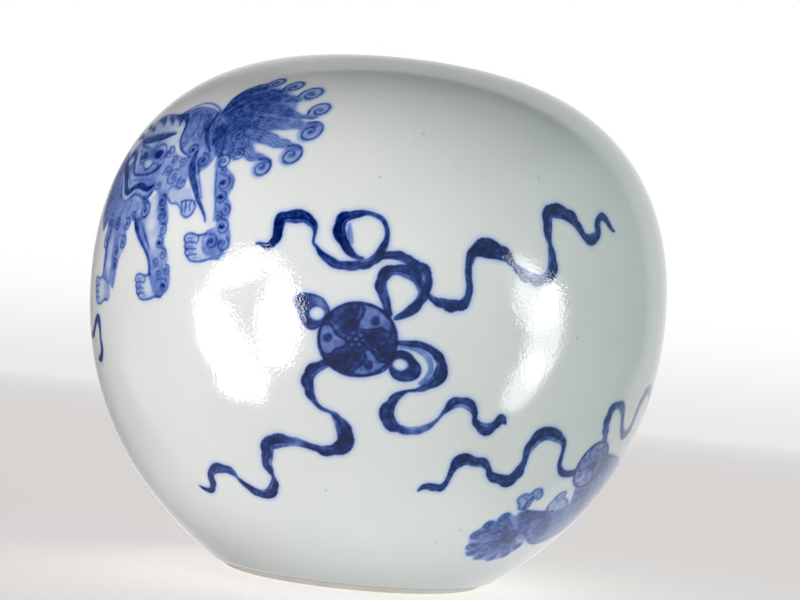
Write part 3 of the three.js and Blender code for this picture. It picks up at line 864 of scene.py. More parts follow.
def lion_face(brush):
    """A broad, friendly lion's face: tufts, one long brow, round eyes and a wide wavy mouth."""
    brush.wash([
        (-8.6, 61.8), (-6.6, 63.6), (-3.6, 63.8), (-1, 63.3), (0.8, 62.4), (2.1, 61), (2.5, 59.4),
        (1.8, 58.2), (1.3, 56.5), (0.9, 54.6), (1.2, 52.6), (0.2, 51.6), (-1.4, 51.9), (-3, 52.2),
        (-5, 51.6), (-7.2, 52.6), (-8.2, 54.6), (-9.6, 56.6), (-9.8, 58.6), (-8.6, 60),
    ], [
        (-6, 62, 0.2), (-2, 61.4, 0.14), (1.2, 60, 0.05), (-4, 58.9, 0.12), (-2.4, 57.6, 0.42),
        (1.6, 59, 0.06), (-5.6, 56.8, 0.14), (-0.6, 56.2, 0.3), (-3, 54.3, 0.3), (-5, 54, 0.18),
        (-7.4, 56, 0.5), (0, 53.9, 0.4),
    ], rim=0.04)
    brush.strokes([
        [(-6.4, 63.2, 0.5), (-5.4, 63.1, 0.9), (-4.5, 62.8, 0.8), (-3.8, 62.2, 0.4), (-3.5, 61.8, 0.15)],
        [(-3.6, 63.3, 0.3), (-2.9, 63.1, 0.7), (-2.2, 62.7, 0.7), (-1.6, 62.1, 0.4), (-1.3, 61.7, 0.15)],
        [(-1.9, 63.2, 0.3), (-1, 63, 0.8), (-0.2, 62.6, 0.8), (0.4, 61.9, 0.5), (0.6, 61.4, 0.2)],
        [(-9.6, 62.6, 0.4), (-8.9, 62.4, 0.7), (-8.1, 62.1, 0.5), (-7.6, 61.8, 0.2)],
        [(-7.4, 62, 0.2), (-6.8, 61.8, 0.5), (-6.1, 61.5, 0.5), (-5.6, 61.2, 0.2)],
        [(-11.8, 61.4, 0.3), (-10.6, 61, 0.9), (-9.4, 60.8, 0.8), (-8.4, 60.6, 0.3)],
    ], 0.72, soft=0.2)
    brush.stroke([
        (-6.4, 63.6, 0.2), (-4.8, 63.75, 0.22), (-3.2, 63.6, 0.22), (-1.4, 63.3, 0.2), (0.2, 62.9, 0.2),
    ], 0.5)
    brush.stroke([
        (-7.9, 60.1, 0.3), (-6.6, 59.9, 0.8), (-5, 59.8, 1.05), (-3.2, 59.9, 1.15), (-1.6, 59.95, 0.95),
        (-0.3, 60.1, 0.65), (0.9, 60.2, 0.25),
    ], 0.74, streaks=0.3, rim=0.1)
    brush.stroke([(-7, 59.5, 0.4), (-6, 59, 0.5), (-5.2, 58.8, 0.5), (-4.2, 58.6, 0.4), (-3.4, 58.5, 0.2)],
        0.55)
    brush.stroke([(-7.6, 60.5, 0.16), (-5, 60.5, 0.18), (-2.5, 60.6, 0.18), (0.8, 60.5, 0.14)], 0.4)
    for x, y, across, up in ((-4.3, 57.45, 0.92, 0.55), (-0.58, 57.4, 0.88, 0.6)):
        brush.dot(x, y, across, up, tone=0.96)
    brush.stroke([
        (-6, 58.4, 0.3), (-5.5, 57.8, 0.32), (-5.3, 57.2, 0.25), (-4.9, 56.7, 0.22), (-4.1, 56.6, 0.2),
        (-3.4, 56.8, 0.18),
    ], 0.55)
    brush.stroke([(-5.2, 58.1, 0.2), (-4.4, 58.3, 0.22), (-3.6, 58.1, 0.2)], 0.45)
    brush.stroke([
        (-1.75, 57.2, 0.2), (-1.7, 58, 0.26), (-1.3, 58.6, 0.28), (-0.6, 58.8, 0.26), (0.2, 58.5, 0.22),
        (0.8, 57.8, 0.2), (0.8, 57, 0.2), (0.3, 56.6, 0.16),
    ], 0.6)
    brush.stroke([(-3.3, 58.4, 0.3), (-3.2, 57.6, 0.5), (-3.3, 57, 0.4)], 0.35, soft=0.25)
    brush.stroke([(-2, 58.6, 0.3), (-2.1, 57.6, 0.6), (-2, 57, 0.4)], 0.38, soft=0.25)
    brush.stroke([
        (-4.6, 56.2, 0.2), (-3.9, 56.4, 0.25), (-3.3, 56.1, 0.22), (-2.9, 55.7, 0.3), (-2.3, 55.45, 0.35),
        (-1.6, 55.6, 0.32), (-1.1, 56.1, 0.22), (-0.4, 56.2, 0.25), (0.2, 55.9, 0.3), (0.6, 55.6, 0.25),
    ], 0.6)
    brush.reserve([(-3.2, 56.6), (-2.4, 56.8), (-1.6, 56.5), (-1.6, 56), (-2.3, 55.7), (-3, 56)], 0.35)
    brush.stroke([
        (-10.2, 57, 0.5), (-9.7, 57.9, 0.7), (-8.7, 58.3, 0.75), (-7.6, 58, 0.7), (-6.8, 57.2, 0.6),
        (-6.2, 56.3, 0.5), (-5.5, 55.4, 0.42), (-4.6, 54.95, 0.38), (-3.4, 54.8, 0.36), (-2, 54.8, 0.36),
        (-0.8, 54.9, 0.38), (0.1, 55.2, 0.5), (0.8, 55.8, 0.4),
    ], 0.72)
    brush.stroke([
        (-10, 57.3, 0.8), (-9.5, 56.5, 1.1), (-8.7, 55.9, 1.1), (-7.8, 55.2, 1), (-7, 54.4, 0.95),
        (-6.4, 53.5, 0.9), (-5.6, 52.85, 0.85), (-4.6, 52.75, 0.75), (-3.7, 53.1, 0.75), (-2.8, 53.35, 0.8),
        (-1.8, 53.3, 0.8), (-0.8, 53, 0.75), (0, 52.85, 0.65), (0.8, 53.2, 0.35),
    ], 0.84, rim=0.08)
    brush.reserve([(-9, 57.2), (-8.2, 57.6), (-7.4, 57.3), (-7.5, 56.7), (-8.3, 56.5), (-9, 56.7)], 0.35)
    brush.stroke([
        (-5.6, 53.9, 0.16), (-4.4, 54.2, 0.18), (-3, 54.15, 0.18), (-1.4, 54.1, 0.18), (-0.2, 54, 0.14),
    ], 0.4)
    brush.stroke([(-5.9, 54.7, 0.2), (-5.3, 54, 0.22), (-4.9, 53.6, 0.2)], 0.35)
    brush.reserve([
        (-7.6, 54), (-7, 53), (-6.2, 52.2), (-5.2, 51.9), (-4.2, 52.2), (-3.3, 52.7), (-2.3, 52.7),
        (-1.2, 52.3), (0, 52.2), (0.2, 52.35), (-1, 52.55), (-2.2, 52.9), (-3.4, 52.95), (-4.4, 52.4),
        (-5.3, 52.2), (-6.2, 52.6), (-7, 53.5), (-7.5, 54.3),
    ], 0.3)
    brush.stroke([
        (-8.9, 54.9, 0.3), (-8.2, 54, 0.36), (-7.6, 53.1, 0.38), (-7, 52.3, 0.38), (-6.1, 51.7, 0.38),
        (-5, 51.5, 0.36), (-4, 51.8, 0.34), (-3, 52.2, 0.34), (-2, 52.15, 0.34), (-1, 51.8, 0.38),
        (0, 51.7, 0.38), (0.8, 52.1, 0.34), (1.2, 52.8, 0.25),
    ], 0.55)


def lion_bib(brush):
    """The beard and the mane on the far side of the face, down to its row of curls."""
    brush.wash([
        (-13.6, 58), (-12, 58.9), (-10.6, 58.2), (-9.7, 56), (-8.6, 54.6), (-7.4, 52.9), (-6.2, 51.6),
        (-4.8, 51.3), (-3, 52), (-1.2, 51.6), (0.6, 51.6), (1.2, 50.6), (0.8, 49.3), (-0.4, 48.8),
        (-1.6, 49.4), (-2.6, 48.4), (-4, 48.4), (-5.2, 49.2), (-6.4, 48.2), (-8, 48.6), (-9.4, 49.3),
        (-11, 48.6), (-12.8, 49.4), (-13.8, 51.4), (-14.2, 54.6),
    ], [
        (-12.4, 56, 0.78), (-11.6, 52.5, 0.75), (-9.4, 51.4, 0.68), (-7, 50.3, 0.6), (-4.6, 50.2, 0.52),
        (-2.2, 50.6, 0.46), (0, 50.2, 0.45), (-10.2, 49.8, 0.7),
    ])
    brush.hairs([
        [(-13.4, 57), (-12.8, 54.6), (-12.4, 52), (-12.4, 49.8)],
        [(-10.8, 56.8), (-10.4, 54.4), (-10.2, 52), (-10.6, 49.6)],
        [(-8.4, 53.8), (-8.4, 52.2), (-8.6, 50.8), (-8.8, 49.4)],
        [(-6.2, 51.4), (-6.3, 50.6), (-6.5, 49.8), (-6.6, 48.9)],
        [(-3, 51.8), (-3.4, 50.8), (-3.6, 49.8), (-3.8, 49)],
        [(0.2, 51.4), (-0.4, 50.8), (-1, 50.2), (-1.2, 49.6)],
    ], 6, width=0.16, tone=0.4)
    brush.curls([
        (0.5, 50.15, 1.15, 100), (-3.05, 48.6, 0.85, 120), (-5.9, 48.7, 0.85, 120), (-8.7, 49.3, 0.9, 120),
        (-11.3, 49, 0.9, 120), (0.2, 51, 0.6, 160), (-1.7, 49.5, 0.6, 160), (-12.9, 58.2, 0.9, 60, -1),
    ], 1.15, width=0.28, tone=0.6, fill=0.14)


def lion_near_leg(brush):
    """The near foreleg: a dark edge, a bare stripe, curls down the back and a paw."""
    brush.wash([
        (-1.3, 49.3), (-0.9, 48.2), (0, 47), (1, 46.1), (2, 45.2), (2.9, 44.2), (3.2, 43.2), (3.1, 42.5),
        (4.6, 40.2), (5.6, 40.2), (6.7, 41), (7, 42.2), (6.7, 43.2), (6.2, 43.8), (6.3, 44.8), (5.7, 45.8),
        (5.3, 46.6), (5.5, 47.7), (5.2, 48.8), (4.6, 50.2), (3.8, 52), (2.4, 52.4), (1.3, 51.4),
        (0.8, 49.6),
    ], [
        (-0.3, 48.4, 0.75), (1.2, 46.8, 0.55), (2.6, 45.2, 0.5), (1.6, 50.4, 0.1), (2.4, 48.4, 0.06),
        (3.1, 46.4, 0.1), (3.8, 50.6, 0.45), (4.4, 48.2, 0.42), (4.9, 46, 0.45), (4.6, 43.4, 0.6),
        (5.8, 42, 0.5), (4.2, 42.6, 0.6),
    ])
    brush.stroke([
        (-1.2, 49.1, 0.5), (-0.6, 48.2, 0.75), (0.2, 47.2, 0.6), (1.2, 46.2, 0.42), (2.2, 45.3, 0.36),
        (2.9, 44.3, 0.42), (3.2, 43.3, 0.36), (3.2, 42.7, 0.2),
    ], 0.82)
    brush.hairs([
        [(-0.4, 49), (0.6, 47.8), (1.8, 46.6), (2.9, 45.2)],
        [(0.8, 49), (1.4, 47.8), (2.2, 46.6), (3, 45.6)],
    ], 6, width=0.15, tone=0.4)
    brush.curls([
        (3.5, 51.2, 0.8, 120), (3.9, 49.5, 0.78, 110), (4.7, 47.8, 0.75, 110), (4.45, 46.3, 0.8, 110),
        (5.3, 45, 0.75, 110), (4.3, 43.9, 0.6, 160), (6.2, 43.2, 0.65, 100), (5, 42.5, 0.6, 160),
        (5.9, 41.4, 0.85, 120),
    ], 1.15, width=0.22, tone=0.62, fill=0.1, eye=0.55)
    brush.dot(4.5, 46.3, 0.32, 0.25, tone=0.85)
    brush.dot(5.95, 41.4, 0.35, 0.26, tone=0.9)
    paw(brush, 0.55, 39.75, 1.0)


def paw(brush, x, y, size):
    """A paw from the side: rounded toes to the left, a line for each and a pale back."""
    outline = [
        (2.9, 2.95), (1.9, 2.75), (0.9, 2.95), (0.15, 2.75), (0.05, 2.2), (0.35, 1.9), (0.2, 1.55),
        (0.45, 1.25), (0.4, 0.85), (0.75, 0.5), (1.2, 0.1), (2, 0), (2.9, 0.1), (4, 0.4), (5, 0.4),
        (5.6, 0.9), (5, 2.2),
    ]

    def put(rows):
        return [(x + px * size, y + py * size, *rest) for px, py, *rest in rows]

    brush.wash(put(outline), [
        (x + 0.8 * size, y + 1.4 * size, 0.3), (x + 2.6 * size, y + 1.6 * size, 0.1),
        (x + 4.6 * size, y + 1.2 * size, 0.45),
    ])
    brush.stroke(put([(px, py, 0.24) for px, py in outline[:15]]), 0.68)
    for line in (
        [(0.35, 1.9, 0.2), (1, 2.05, 0.24), (1.7, 1.95, 0.16)],
        [(0.45, 1.25, 0.2), (1.1, 1.35, 0.24), (1.8, 1.3, 0.16)],
        [(0.7, 0.55, 0.2), (1.3, 0.75, 0.24), (2, 0.75, 0.16)],
        [(1.9, 2.7, 0.16), (2, 2.2, 0.16), (1.8, 1.9, 0.12)],
    ):
        brush.stroke(put(line), 0.66)
    for line in (
        [(0.5, 2.4, 0.14), (1.3, 2.45, 0.14)], [(0.6, 1.6, 0.14), (1.3, 1.65, 0.14)],
        [(0.9, 1, 0.12), (1.5, 1.05, 0.12)], [(1.6, 0.4, 0.12), (2.4, 0.45, 0.12)],
    ):
        brush.stroke(put(line), 0.4)


def lion_far_leg(brush):
    """The far foreleg and its paw."""
    brush.wash([
        (-9.6, 49.2), (-9.2, 47.4), (-9, 45.6), (-8.9, 44), (-8.9, 42.4), (-6.4, 41.6), (-5, 41),
        (-4.5, 42.2), (-4.2, 43.6), (-3.7, 44.8), (-2.9, 45.6), (-2.5, 46.6), (-2.9, 47.6), (-3.8, 48.4),
        (-5.4, 49.2), (-7.6, 49.4),
    ], [
        (-8.2, 47, 0.7), (-8.4, 44.6, 0.72), (-8.2, 42.8, 0.75), (-6.8, 46, 0.2), (-7.1, 44, 0.15),
        (-5.2, 46.6, 0.55), (-5.2, 44.4, 0.55), (-5.2, 42.4, 0.68), (-3.6, 46.6, 0.45),
    ])
    brush.hairs([
        [(-8.4, 48.8), (-8.6, 46.6), (-8.7, 44.6), (-8.7, 42.8)],
        [(-7.4, 48.6), (-7.9, 46.6), (-8.1, 44.6), (-8.1, 42.8)],
    ], 5, width=0.22, tone=0.5)
    brush.hairs([
        [(-6.2, 48.4), (-6.2, 46.4), (-6.1, 44.4), (-6, 42.4)],
        [(-4.4, 47.8), (-4.6, 46), (-4.9, 44.2), (-5, 42.2)],
    ], 6, width=0.16, tone=0.35)
    brush.curls([
        (-3.5, 46.4, 0.9, 110), (-4.9, 43.8, 0.7, 110), (-5, 45.4, 0.6, 140), (-8.9, 46.8, 1.1, 100, -1),
    ], 1.15, width=0.28, tone=0.62, fill=0.14)
    paw(brush, -12.1, 39.2, 1.12)


def lion_hind_leg(brush):
    """The hind leg: a thick dark edge, a broad bare stripe, a row of curls and a paw."""
    brush.wash([
        (10.4, 57.4), (11, 56.2), (11.8, 55), (12.8, 54.6), (13.7, 53.8), (13.8, 52.6), (13.6, 51.8),
        (14.3, 50.8), (14.4, 49.6), (14.2, 48.8), (14.9, 47.8), (15.1, 46.4), (14.6, 45.3), (13.2, 44.9),
        (11.6, 45.4), (11.2, 46.8), (11.6, 47.8), (12.8, 48.4), (12.4, 49.6), (12, 51), (11.4, 52.6),
        (10.8, 54.4), (10.2, 56),
    ], [
        (12.2, 53.6, 0.62), (13, 51.4, 0.6), (13.4, 49.4, 0.55), (13.4, 47, 0.55), (11.2, 56.4, 0.5),
        (14.2, 46.2, 0.5),
    ])
    brush.stroke([
        (6.6, 57.4, 0.5), (6.7, 56, 0.8), (7.1, 54.9, 1), (7.8, 53.8, 1), (8.6, 52.7, 0.85),
        (9.4, 51.5, 0.6), (10.2, 50.5, 0.42), (10.9, 49.6, 0.32), (11.2, 48.9, 0.25),
    ], 0.82)
    brush.stroke([(8, 55.4, 0.3), (8.5, 54.2, 0.3), (9.2, 53, 0.26), (9.9, 51.6, 0.2)], 0.5)
    brush.wash([
        (9.4, 58), (10.2, 57.6), (10.6, 55.8), (11.2, 53.6), (11.8, 51.6), (12.2, 49.8), (12.2, 48.4),
        (11.2, 48.6), (10.9, 50), (10, 51.6), (9.2, 53.2), (8.9, 55.2), (9.2, 56.8),
    ], 0.05, rim=0)
    brush.stroke([
        (10.4, 58, 0.2), (10.5, 56.4, 0.22), (11, 54.6, 0.22), (11.6, 52.6, 0.24), (12.2, 50.6, 0.22),
        (12.4, 49, 0.2),
    ], 0.55)
    brush.stroke([
        (10.9, 56.8, 0.2), (11.2, 55.4, 0.25), (12.4, 55, 0.2), (13.6, 54, 0.25), (13.75, 52.9, 0.25),
    ], 0.5)
    brush.curls([
        (12.4, 53.4, 1, 110), (12.6, 51.7, 0.85, 110), (13.6, 50.2, 0.75, 100), (12.9, 49.5, 0.6, 120),
        (13.7, 48.3, 0.95, 100), (12.5, 46.6, 0.95, 110), (14.1, 46.4, 0.9, 60), (11.7, 54.9, 0.6, 110),
    ], 1.15, width=0.23, tone=0.64, fill=0.1, eye=0.55)
    for x, y in ((12.3, 53.4), (12.6, 51.7), (13.6, 48.3), (12.4, 46.6)):
        brush.dot(x, y, 0.35, 0.22, tone=0.85)
    paw(brush, 8.55, 44.3, 1.08)


def lion_belly_paw(brush):
    """The far hind paw, that shows under the belly."""
    outline = [
        (4.2, 53), (4.4, 51.6), (5.2, 51), (6.2, 50.9), (7, 50.4), (7.4, 49.7), (8.2, 49.3), (8.9, 49.6),
        (9.3, 50.5), (8.9, 51.2), (8.4, 51.8), (7.6, 52.8), (6.2, 53.2),
    ]
    brush.wash(outline, 0.3, rim=0)
    brush.stroke([(*point, 0.24) for point in outline[1:10]], 0.66)
    brush.strokes([
        [(7, 51.1, 0.2), (7.2, 50.6, 0.22), (7.5, 50, 0.16)],
        [(7.7, 51.1, 0.2), (7.8, 50.5, 0.24), (7.9, 49.9, 0.16)],
        [(8.4, 51.1, 0.18), (8.4, 50.6, 0.22), (8.6, 50.1, 0.16)],
        [(6.9, 51.1, 0.2), (7.6, 51.3, 0.2), (8.6, 51.3, 0.2)],
    ], 0.72)


def standing_lion(brush):
    """The lion that stands over the ball with its tail up."""
    brush.thin, brush.load, brush.melt, brush.full = (0.42, 0.7, 1.2, 0.8)
    lion_bib(brush)
    lion_far_leg(brush)
    lion_belly_paw(brush)
    lion_mane(brush)
    lion_near_leg(brush)
    lion_hind_leg(brush)
    brush.full = 0.72
    lion_tail(brush)
    brush.thin, brush.full = (0.85, 0.85)
    lion_face(brush)


def second_tail(brush):
    """The second lion's tail, blown down and to the left."""
    brush.wash([
        (-9.6, 14.7), (-9.1, 15.5), (-9.1, 16.2), (-8.2, 16.2), (-7.9, 17.5), (-7.2, 17.7), (-6.2, 17.4),
        (-5.4, 17.3), (-4.2, 16.6), (-3, 15.8), (-1.8, 14.8), (-0.6, 13.6), (0, 12.6), (0.2, 11.8),
        (-0.3, 10.8), (-1, 9.8), (-2.5, 9.2), (-4, 9.3), (-5.5, 9.5), (-6.5, 10), (-7.8, 10.5),
        (-8.3, 11.3), (-8.8, 12.3), (-9.3, 13), (-9.8, 14),
    ], [
        (-7.6, 15.8, 0.5), (-8.6, 13.4, 0.46), (-3.9, 13.9, 0.8), (-6, 14.6, 0.6), (-5.6, 11.4, 0.46),
        (-2.2, 10.8, 0.42), (-1, 12.4, 0.5), (-6.6, 17, 0.52), (-4.8, 15.8, 0.62),
    ])
    brush.hairs([
        [(-4.4, 15.2), (-5.6, 16.3), (-6.9, 17.3)], [(-4.3, 14.6), (-6.4, 15.5), (-8.8, 16)],
        [(-4.1, 14.2), (-6.6, 14.3), (-9.5, 13.9)], [(-4.1, 13.6), (-6.2, 12.8), (-8.5, 11.8)],
        [(-3.9, 13.2), (-5.2, 11.6), (-6.6, 10.2)], [(-3.6, 13), (-3.8, 11.2), (-4.2, 9.6)],
        [(-3.2, 13.2), (-2.4, 11.4), (-1.9, 9.7)], [(-2.8, 13.6), (-1.2, 12.4), (0, 11.4)],
    ], 9, width=0.17, tone=0.5, wave=0.08)
    brush.curls([
        (-9, 14, 0.75, 320), (-8.6, 15.8, 0.7, 300), (-7.2, 17.1, 0.7, 270), (-8.2, 12, 0.7, 20),
        (-7.1, 10.7, 0.65, 40), (-5.3, 9.9, 0.65, 60), (-3, 9.6, 0.6, 90), (-1.1, 10.3, 0.65, 110),
        (-0.4, 11.9, 0.6, 140),
    ], 1.2, width=0.26, tone=0.6, fill=0.3)
    brush.curl(-3.85, 13.9, 1.25, 40, 1, 1.7, width=0.36, tone=0.95, fill=0.5)


def second_body(brush):
    """The second lion's back, belly and hind legs, kicked out to the left under the ball."""
    brush.wash([
        (2, 21.6), (2.6, 20.6), (3.3, 18.9), (2.2, 18.3), (0, 18.2), (-2.4, 18.1), (-4.6, 18.1),
        (-5.3, 17.6), (-4.4, 16.9), (-3.2, 16), (-1.8, 14.6), (-0.5, 13.7), (1, 12.85), (2.5, 12.45),
        (4, 12.5), (5.5, 13), (7, 13.6), (8.5, 14.2), (10.5, 15.3), (12.5, 16.9), (14.2, 18.8), (15, 21),
        (15, 23.5), (13.6, 25), (11.5, 25.8), (10, 26.2), (8.5, 26.4), (7, 26.5), (5.6, 26.6), (5.7, 25.2),
        (5.4, 23.7), (4.4, 22.4), (3.1, 21.8),
    ], [
        (-2, 17.4, 0.7), (1, 16.4, 0.76), (2.4, 14.8, 0.72), (-1.6, 15.6, 0.5), (3.6, 19.6, 0.5),
        (5.6, 17.8, 0.56), (4.8, 22, 0.62), (4, 13.4, 0.5), (7, 15.4, 0.48), (7.2, 24.4, 0.6),
        (6.4, 20.8, 0.64), (9.2, 21.2, 0.45), (9.6, 24.2, 0.28), (11.8, 20, 0.42), (10.2, 17.2, 0.44),
        (12.6, 23.8, 0.45), (13.8, 21.8, 0.55),
    ])
    brush.hairs([
        [(3.2, 22), (5, 20.2), (7.2, 17.4), (9, 14.9)], [(5.4, 23.4), (7.4, 21.4), (9.6, 18.6), (11, 16.2)],
        [(6.2, 25.4), (8.6, 23.6), (11, 21), (12.8, 18.2)],
        [(8, 26.2), (10.4, 25), (12.8, 23), (14.4, 20.4)],
    ], 9, width=0.26, tone=0.3, stray=0.5)
    brush.hairs([
        [(-3.4, 16.6), (-1, 15), (1.2, 13.6)], [(-0.6, 17.4), (1.6, 15.6), (4.2, 13.2)],
    ], 8, width=0.22, tone=0.3)
    brush.wash([(-5.7, 17.7), (-4, 17.9), (-1.4, 15), (-2.2, 14), (-3.8, 15.6)], 0.5, rim=0)
    brush.stroke([
        (-4.4, 17.8, 0.4), (-2.4, 17.5, 0.7), (-0.4, 17.2, 0.8), (1.2, 16.4, 0.7), (2.2, 15.3, 0.5),
        (2.7, 14.4, 0.25),
    ], 0.62, soft=0.25)
    brush.stroke([
        (-1.8, 14.6, 0.25), (-0.5, 13.7, 0.3), (1, 12.85, 0.32), (2.5, 12.45, 0.3), (4, 12.5, 0.3),
        (5.5, 13, 0.3), (7, 13.6, 0.3), (8.5, 14.2, 0.28), (10.5, 15.3, 0.25), (12.5, 16.9, 0.22),
    ], 0.6)
    brush.stroke([
        (5.6, 26.6, 0.3), (7, 26.5, 0.34), (8.5, 26.4, 0.3), (10, 26.2, 0.28), (11.5, 25.8, 0.24),
        (13.2, 25.1, 0.2),
    ], 0.6)
    brush.curls([
        (6.6, 25.6, 0.8, 200), (5.9, 24, 0.75, 200), (4.7, 22.6, 0.7, 220), (3.9, 21.2, 0.6, 220),
        (4.3, 19.7, 0.6, 200),
    ], 1.2, width=0.26, tone=0.6, fill=0.22)
    paws = (
        [
            (-5.4, 18.3), (-6.1, 18.4), (-6.6, 19.1), (-7.2, 19.6), (-7.3, 20.2), (-6.8, 20.6), (-6, 20.6),
            (-5.6, 21.3), (-4.8, 21.45), (-4.2, 21), (-3.8, 20.4), (-4.1, 19.9), (-4.7, 20.2), (-4.9, 19.6),
            (-4.8, 18.8),
        ],
        [
            (-0.9, 18.3), (-1.35, 19), (-1.1, 20), (-0.8, 20.8), (0, 21.2), (0.5, 20.95), (0.75, 20.3),
            (1.6, 20), (2.5, 19.5), (3, 18.8), (1.4, 18.3),
        ],
    )
    for paw_outline in paws:
        brush.reserve(paw_outline)
        brush.wash(paw_outline, 0.26, rim=0.05)
        brush.stroke(paw_outline, 0.62, width=0.26)
    brush.strokes([
        [(-6.9, 20.2, 0.2), (-6.2, 20, 0.22), (-5.7, 19.6, 0.16)],
        [(-5.7, 20.9, 0.2), (-5.3, 20.4, 0.22), (-5.2, 19.9, 0.16)],
        [(-4.7, 21.2, 0.2), (-4.6, 20.7, 0.2), (-4.7, 20.3, 0.16)],
        [(-0.9, 20.2, 0.18), (-0.4, 20, 0.2), (-0.1, 19.6, 0.16)],
        [(-0.2, 20.9, 0.18), (0.1, 20.4, 0.2), (0.1, 19.8, 0.16)],
    ], 0.5)
    brush.stroke([
        (-5.2, 20.2, 0.3), (-5.5, 19.5, 0.38), (-5.35, 18.7, 0.4), (-4.6, 18.15, 0.4), (-3, 18, 0.4),
        (-1, 18, 0.36), (0.6, 18.2, 0.25),
    ], 0.72)


def second_head(brush):
    """The second lion's mane and head, round the side that the photograph doesn't show."""
    x, y = (18.6, 22.6)
    rim = [
        (x + (6.4 + 0.4 * math.cos(9 * a)) * math.cos(a), y + (5.6 + 0.4 * math.cos(9 * a)) * math.sin(a))
        for a in np.linspace(0, 2 * math.pi, 36, endpoint=False)
    ]
    brush.wash(rim, [(x - 5, y, 0.5), (x, y + 5, 0.55), (x + 5, y, 0.5), (x, y - 5, 0.5), (x, y, 0.3)])
    curls = 14
    for k in range(curls):
        a = 2 * math.pi * k / curls + 0.2
        place = (x + 5.6 * math.cos(a), y + 4.9 * math.sin(a))
        brush.curl(*place, 0.95, 57 * a + 180, 1, 1.2, width=0.27, tone=0.62, fill=0.2)
    face = Brush(50, at=(x + 3.5, y - 57.0), about=(-3.5, 57), scale=0.74, turn=-8, mirrored=True)
    face.thin = 0.7
    face.load = 0.8
    face.melt = 1.4
    lion_face(face)


def tumbling_lion(brush):
    """The lion on the right, on its back under the second ball."""
    brush.thin, brush.load, brush.melt, brush.full = (0.62, 0.72, 1.7, 0.8)
    second_body(brush)
    second_head(brush)
    brush.thin = 0.45
    second_tail(brush)


BLEED_WIDTH = 9  # steps of the net
BLEED = 0.42  # the halo's share of the cobalt beside it
WANDER = ((9, 2, 0.6), (5, 5, 2))  # steps of the net, waves round the pot, and where the waves start


def bleed():
    """The cobalt's faint halo, where a little of it has spread in the melted glaze."""
    spread = cobalt.copy()
    for axis in (0, 1, 0, 1):
        total = np.zeros_like(spread)
        for step in range(-BLEED_WIDTH // 2 + 1, BLEED_WIDTH // 2 + 1):
            total += np.roll(spread, step, axis)
        spread = total / BLEED_WIDTH
    cobalt[:] = 1 - (1 - cobalt) * (1 - BLEED * spread)


def repeat_on_the_back():
    """The side that the photograph doesn't show repeats the front, with the wander of a second drawing."""
    i = np.arange(NET_UP + 1)[:, None]
    shift = sum(steps * np.sin(waves * net_lon + start) for steps, waves, start in WANDER)
    low = np.floor(shift).astype(int)
    share = shift - low
    columns = np.roll(np.arange(NET_ROUND), NET_ROUND // 2)[None, :]
    below = cobalt[np.clip(i + low, 0, NET_UP), columns]
    above = cobalt[np.clip(i + low + 1, 0, NET_UP), columns]
    back = below + (above - below) * share
    cobalt[:] = 1 - (1 - cobalt) * (1 - back)


def painting():
    front = Brush(0)
    middle_ball(front)
    ribbon_over_ball(front)
    ribbon_to_the_right(front)
    ribbon_right_of_ball(front)
    ribbon_left_of_ball(front)
    ribbon_below(front)
    standing_lion(Brush(-50))
    ribbon_at_the_far_left(Brush(-50))
    tumbling_lion(Brush(50))
    far = Brush(50)
    far.thin, far.load, far.melt = (0.75, 0.88, 1.4)
    second_ball(far)
    # Specks of iron in the body
    for x, y in (
        (3.1, 61.4), (17.2, 57.8), (-12.6, 30.2), (12.4, 14.6), (9.5, 12.2), (-3.8, 18.9), (24.4, 40.1),
        (-1.2, 55.3),
    ):
        front.dot(x, y, 0.1, tone=0.2)
    repeat_on_the_back()
    bleed()


# Meshes


def piece(name, points, corners, counts, normals, uvs=None, cobalt_at=None):
    """A mesh object from flat arrays: points in mm, corner indices, and corners to each face."""
    mesh = bpy.data.meshes.new(name)
    mesh.vertices.add(len(points))
    mesh.vertices.foreach_set("co", (points * MM).astype(np.float32).ravel())
    mesh.loops.add(len(corners))
    mesh.loops.foreach_set("vertex_index", corners.astype(np.int32))
    mesh.polygons.add(len(counts))
    starts = np.concatenate([[0], np.cumsum(counts)[:-1]])
    mesh.polygons.foreach_set("loop_start", starts.astype(np.int32))
    mesh.polygons.foreach_set("loop_total", counts.astype(np.int32))
    mesh.update(calc_edges=True)
    mesh.polygons.foreach_set("use_smooth", np.ones(len(counts), bool))
    if uvs is not None:
        layer = mesh.uv_layers.new(name="OFBake")
        layer.data.foreach_set("uv", uvs.astype(np.float32).ravel())
    if cobalt_at is not None:
        attribute = mesh.attributes.new("cobalt", "FLOAT", "POINT")
        attribute.data.foreach_set("value", cobalt_at.astype(np.float32))
    mesh.normals_split_custom_set_from_vertices(normals.astype(np.float32))
    made = bpy.data.objects.new(name, mesh)
    bpy.context.scene.collection.objects.link(made)
    return made


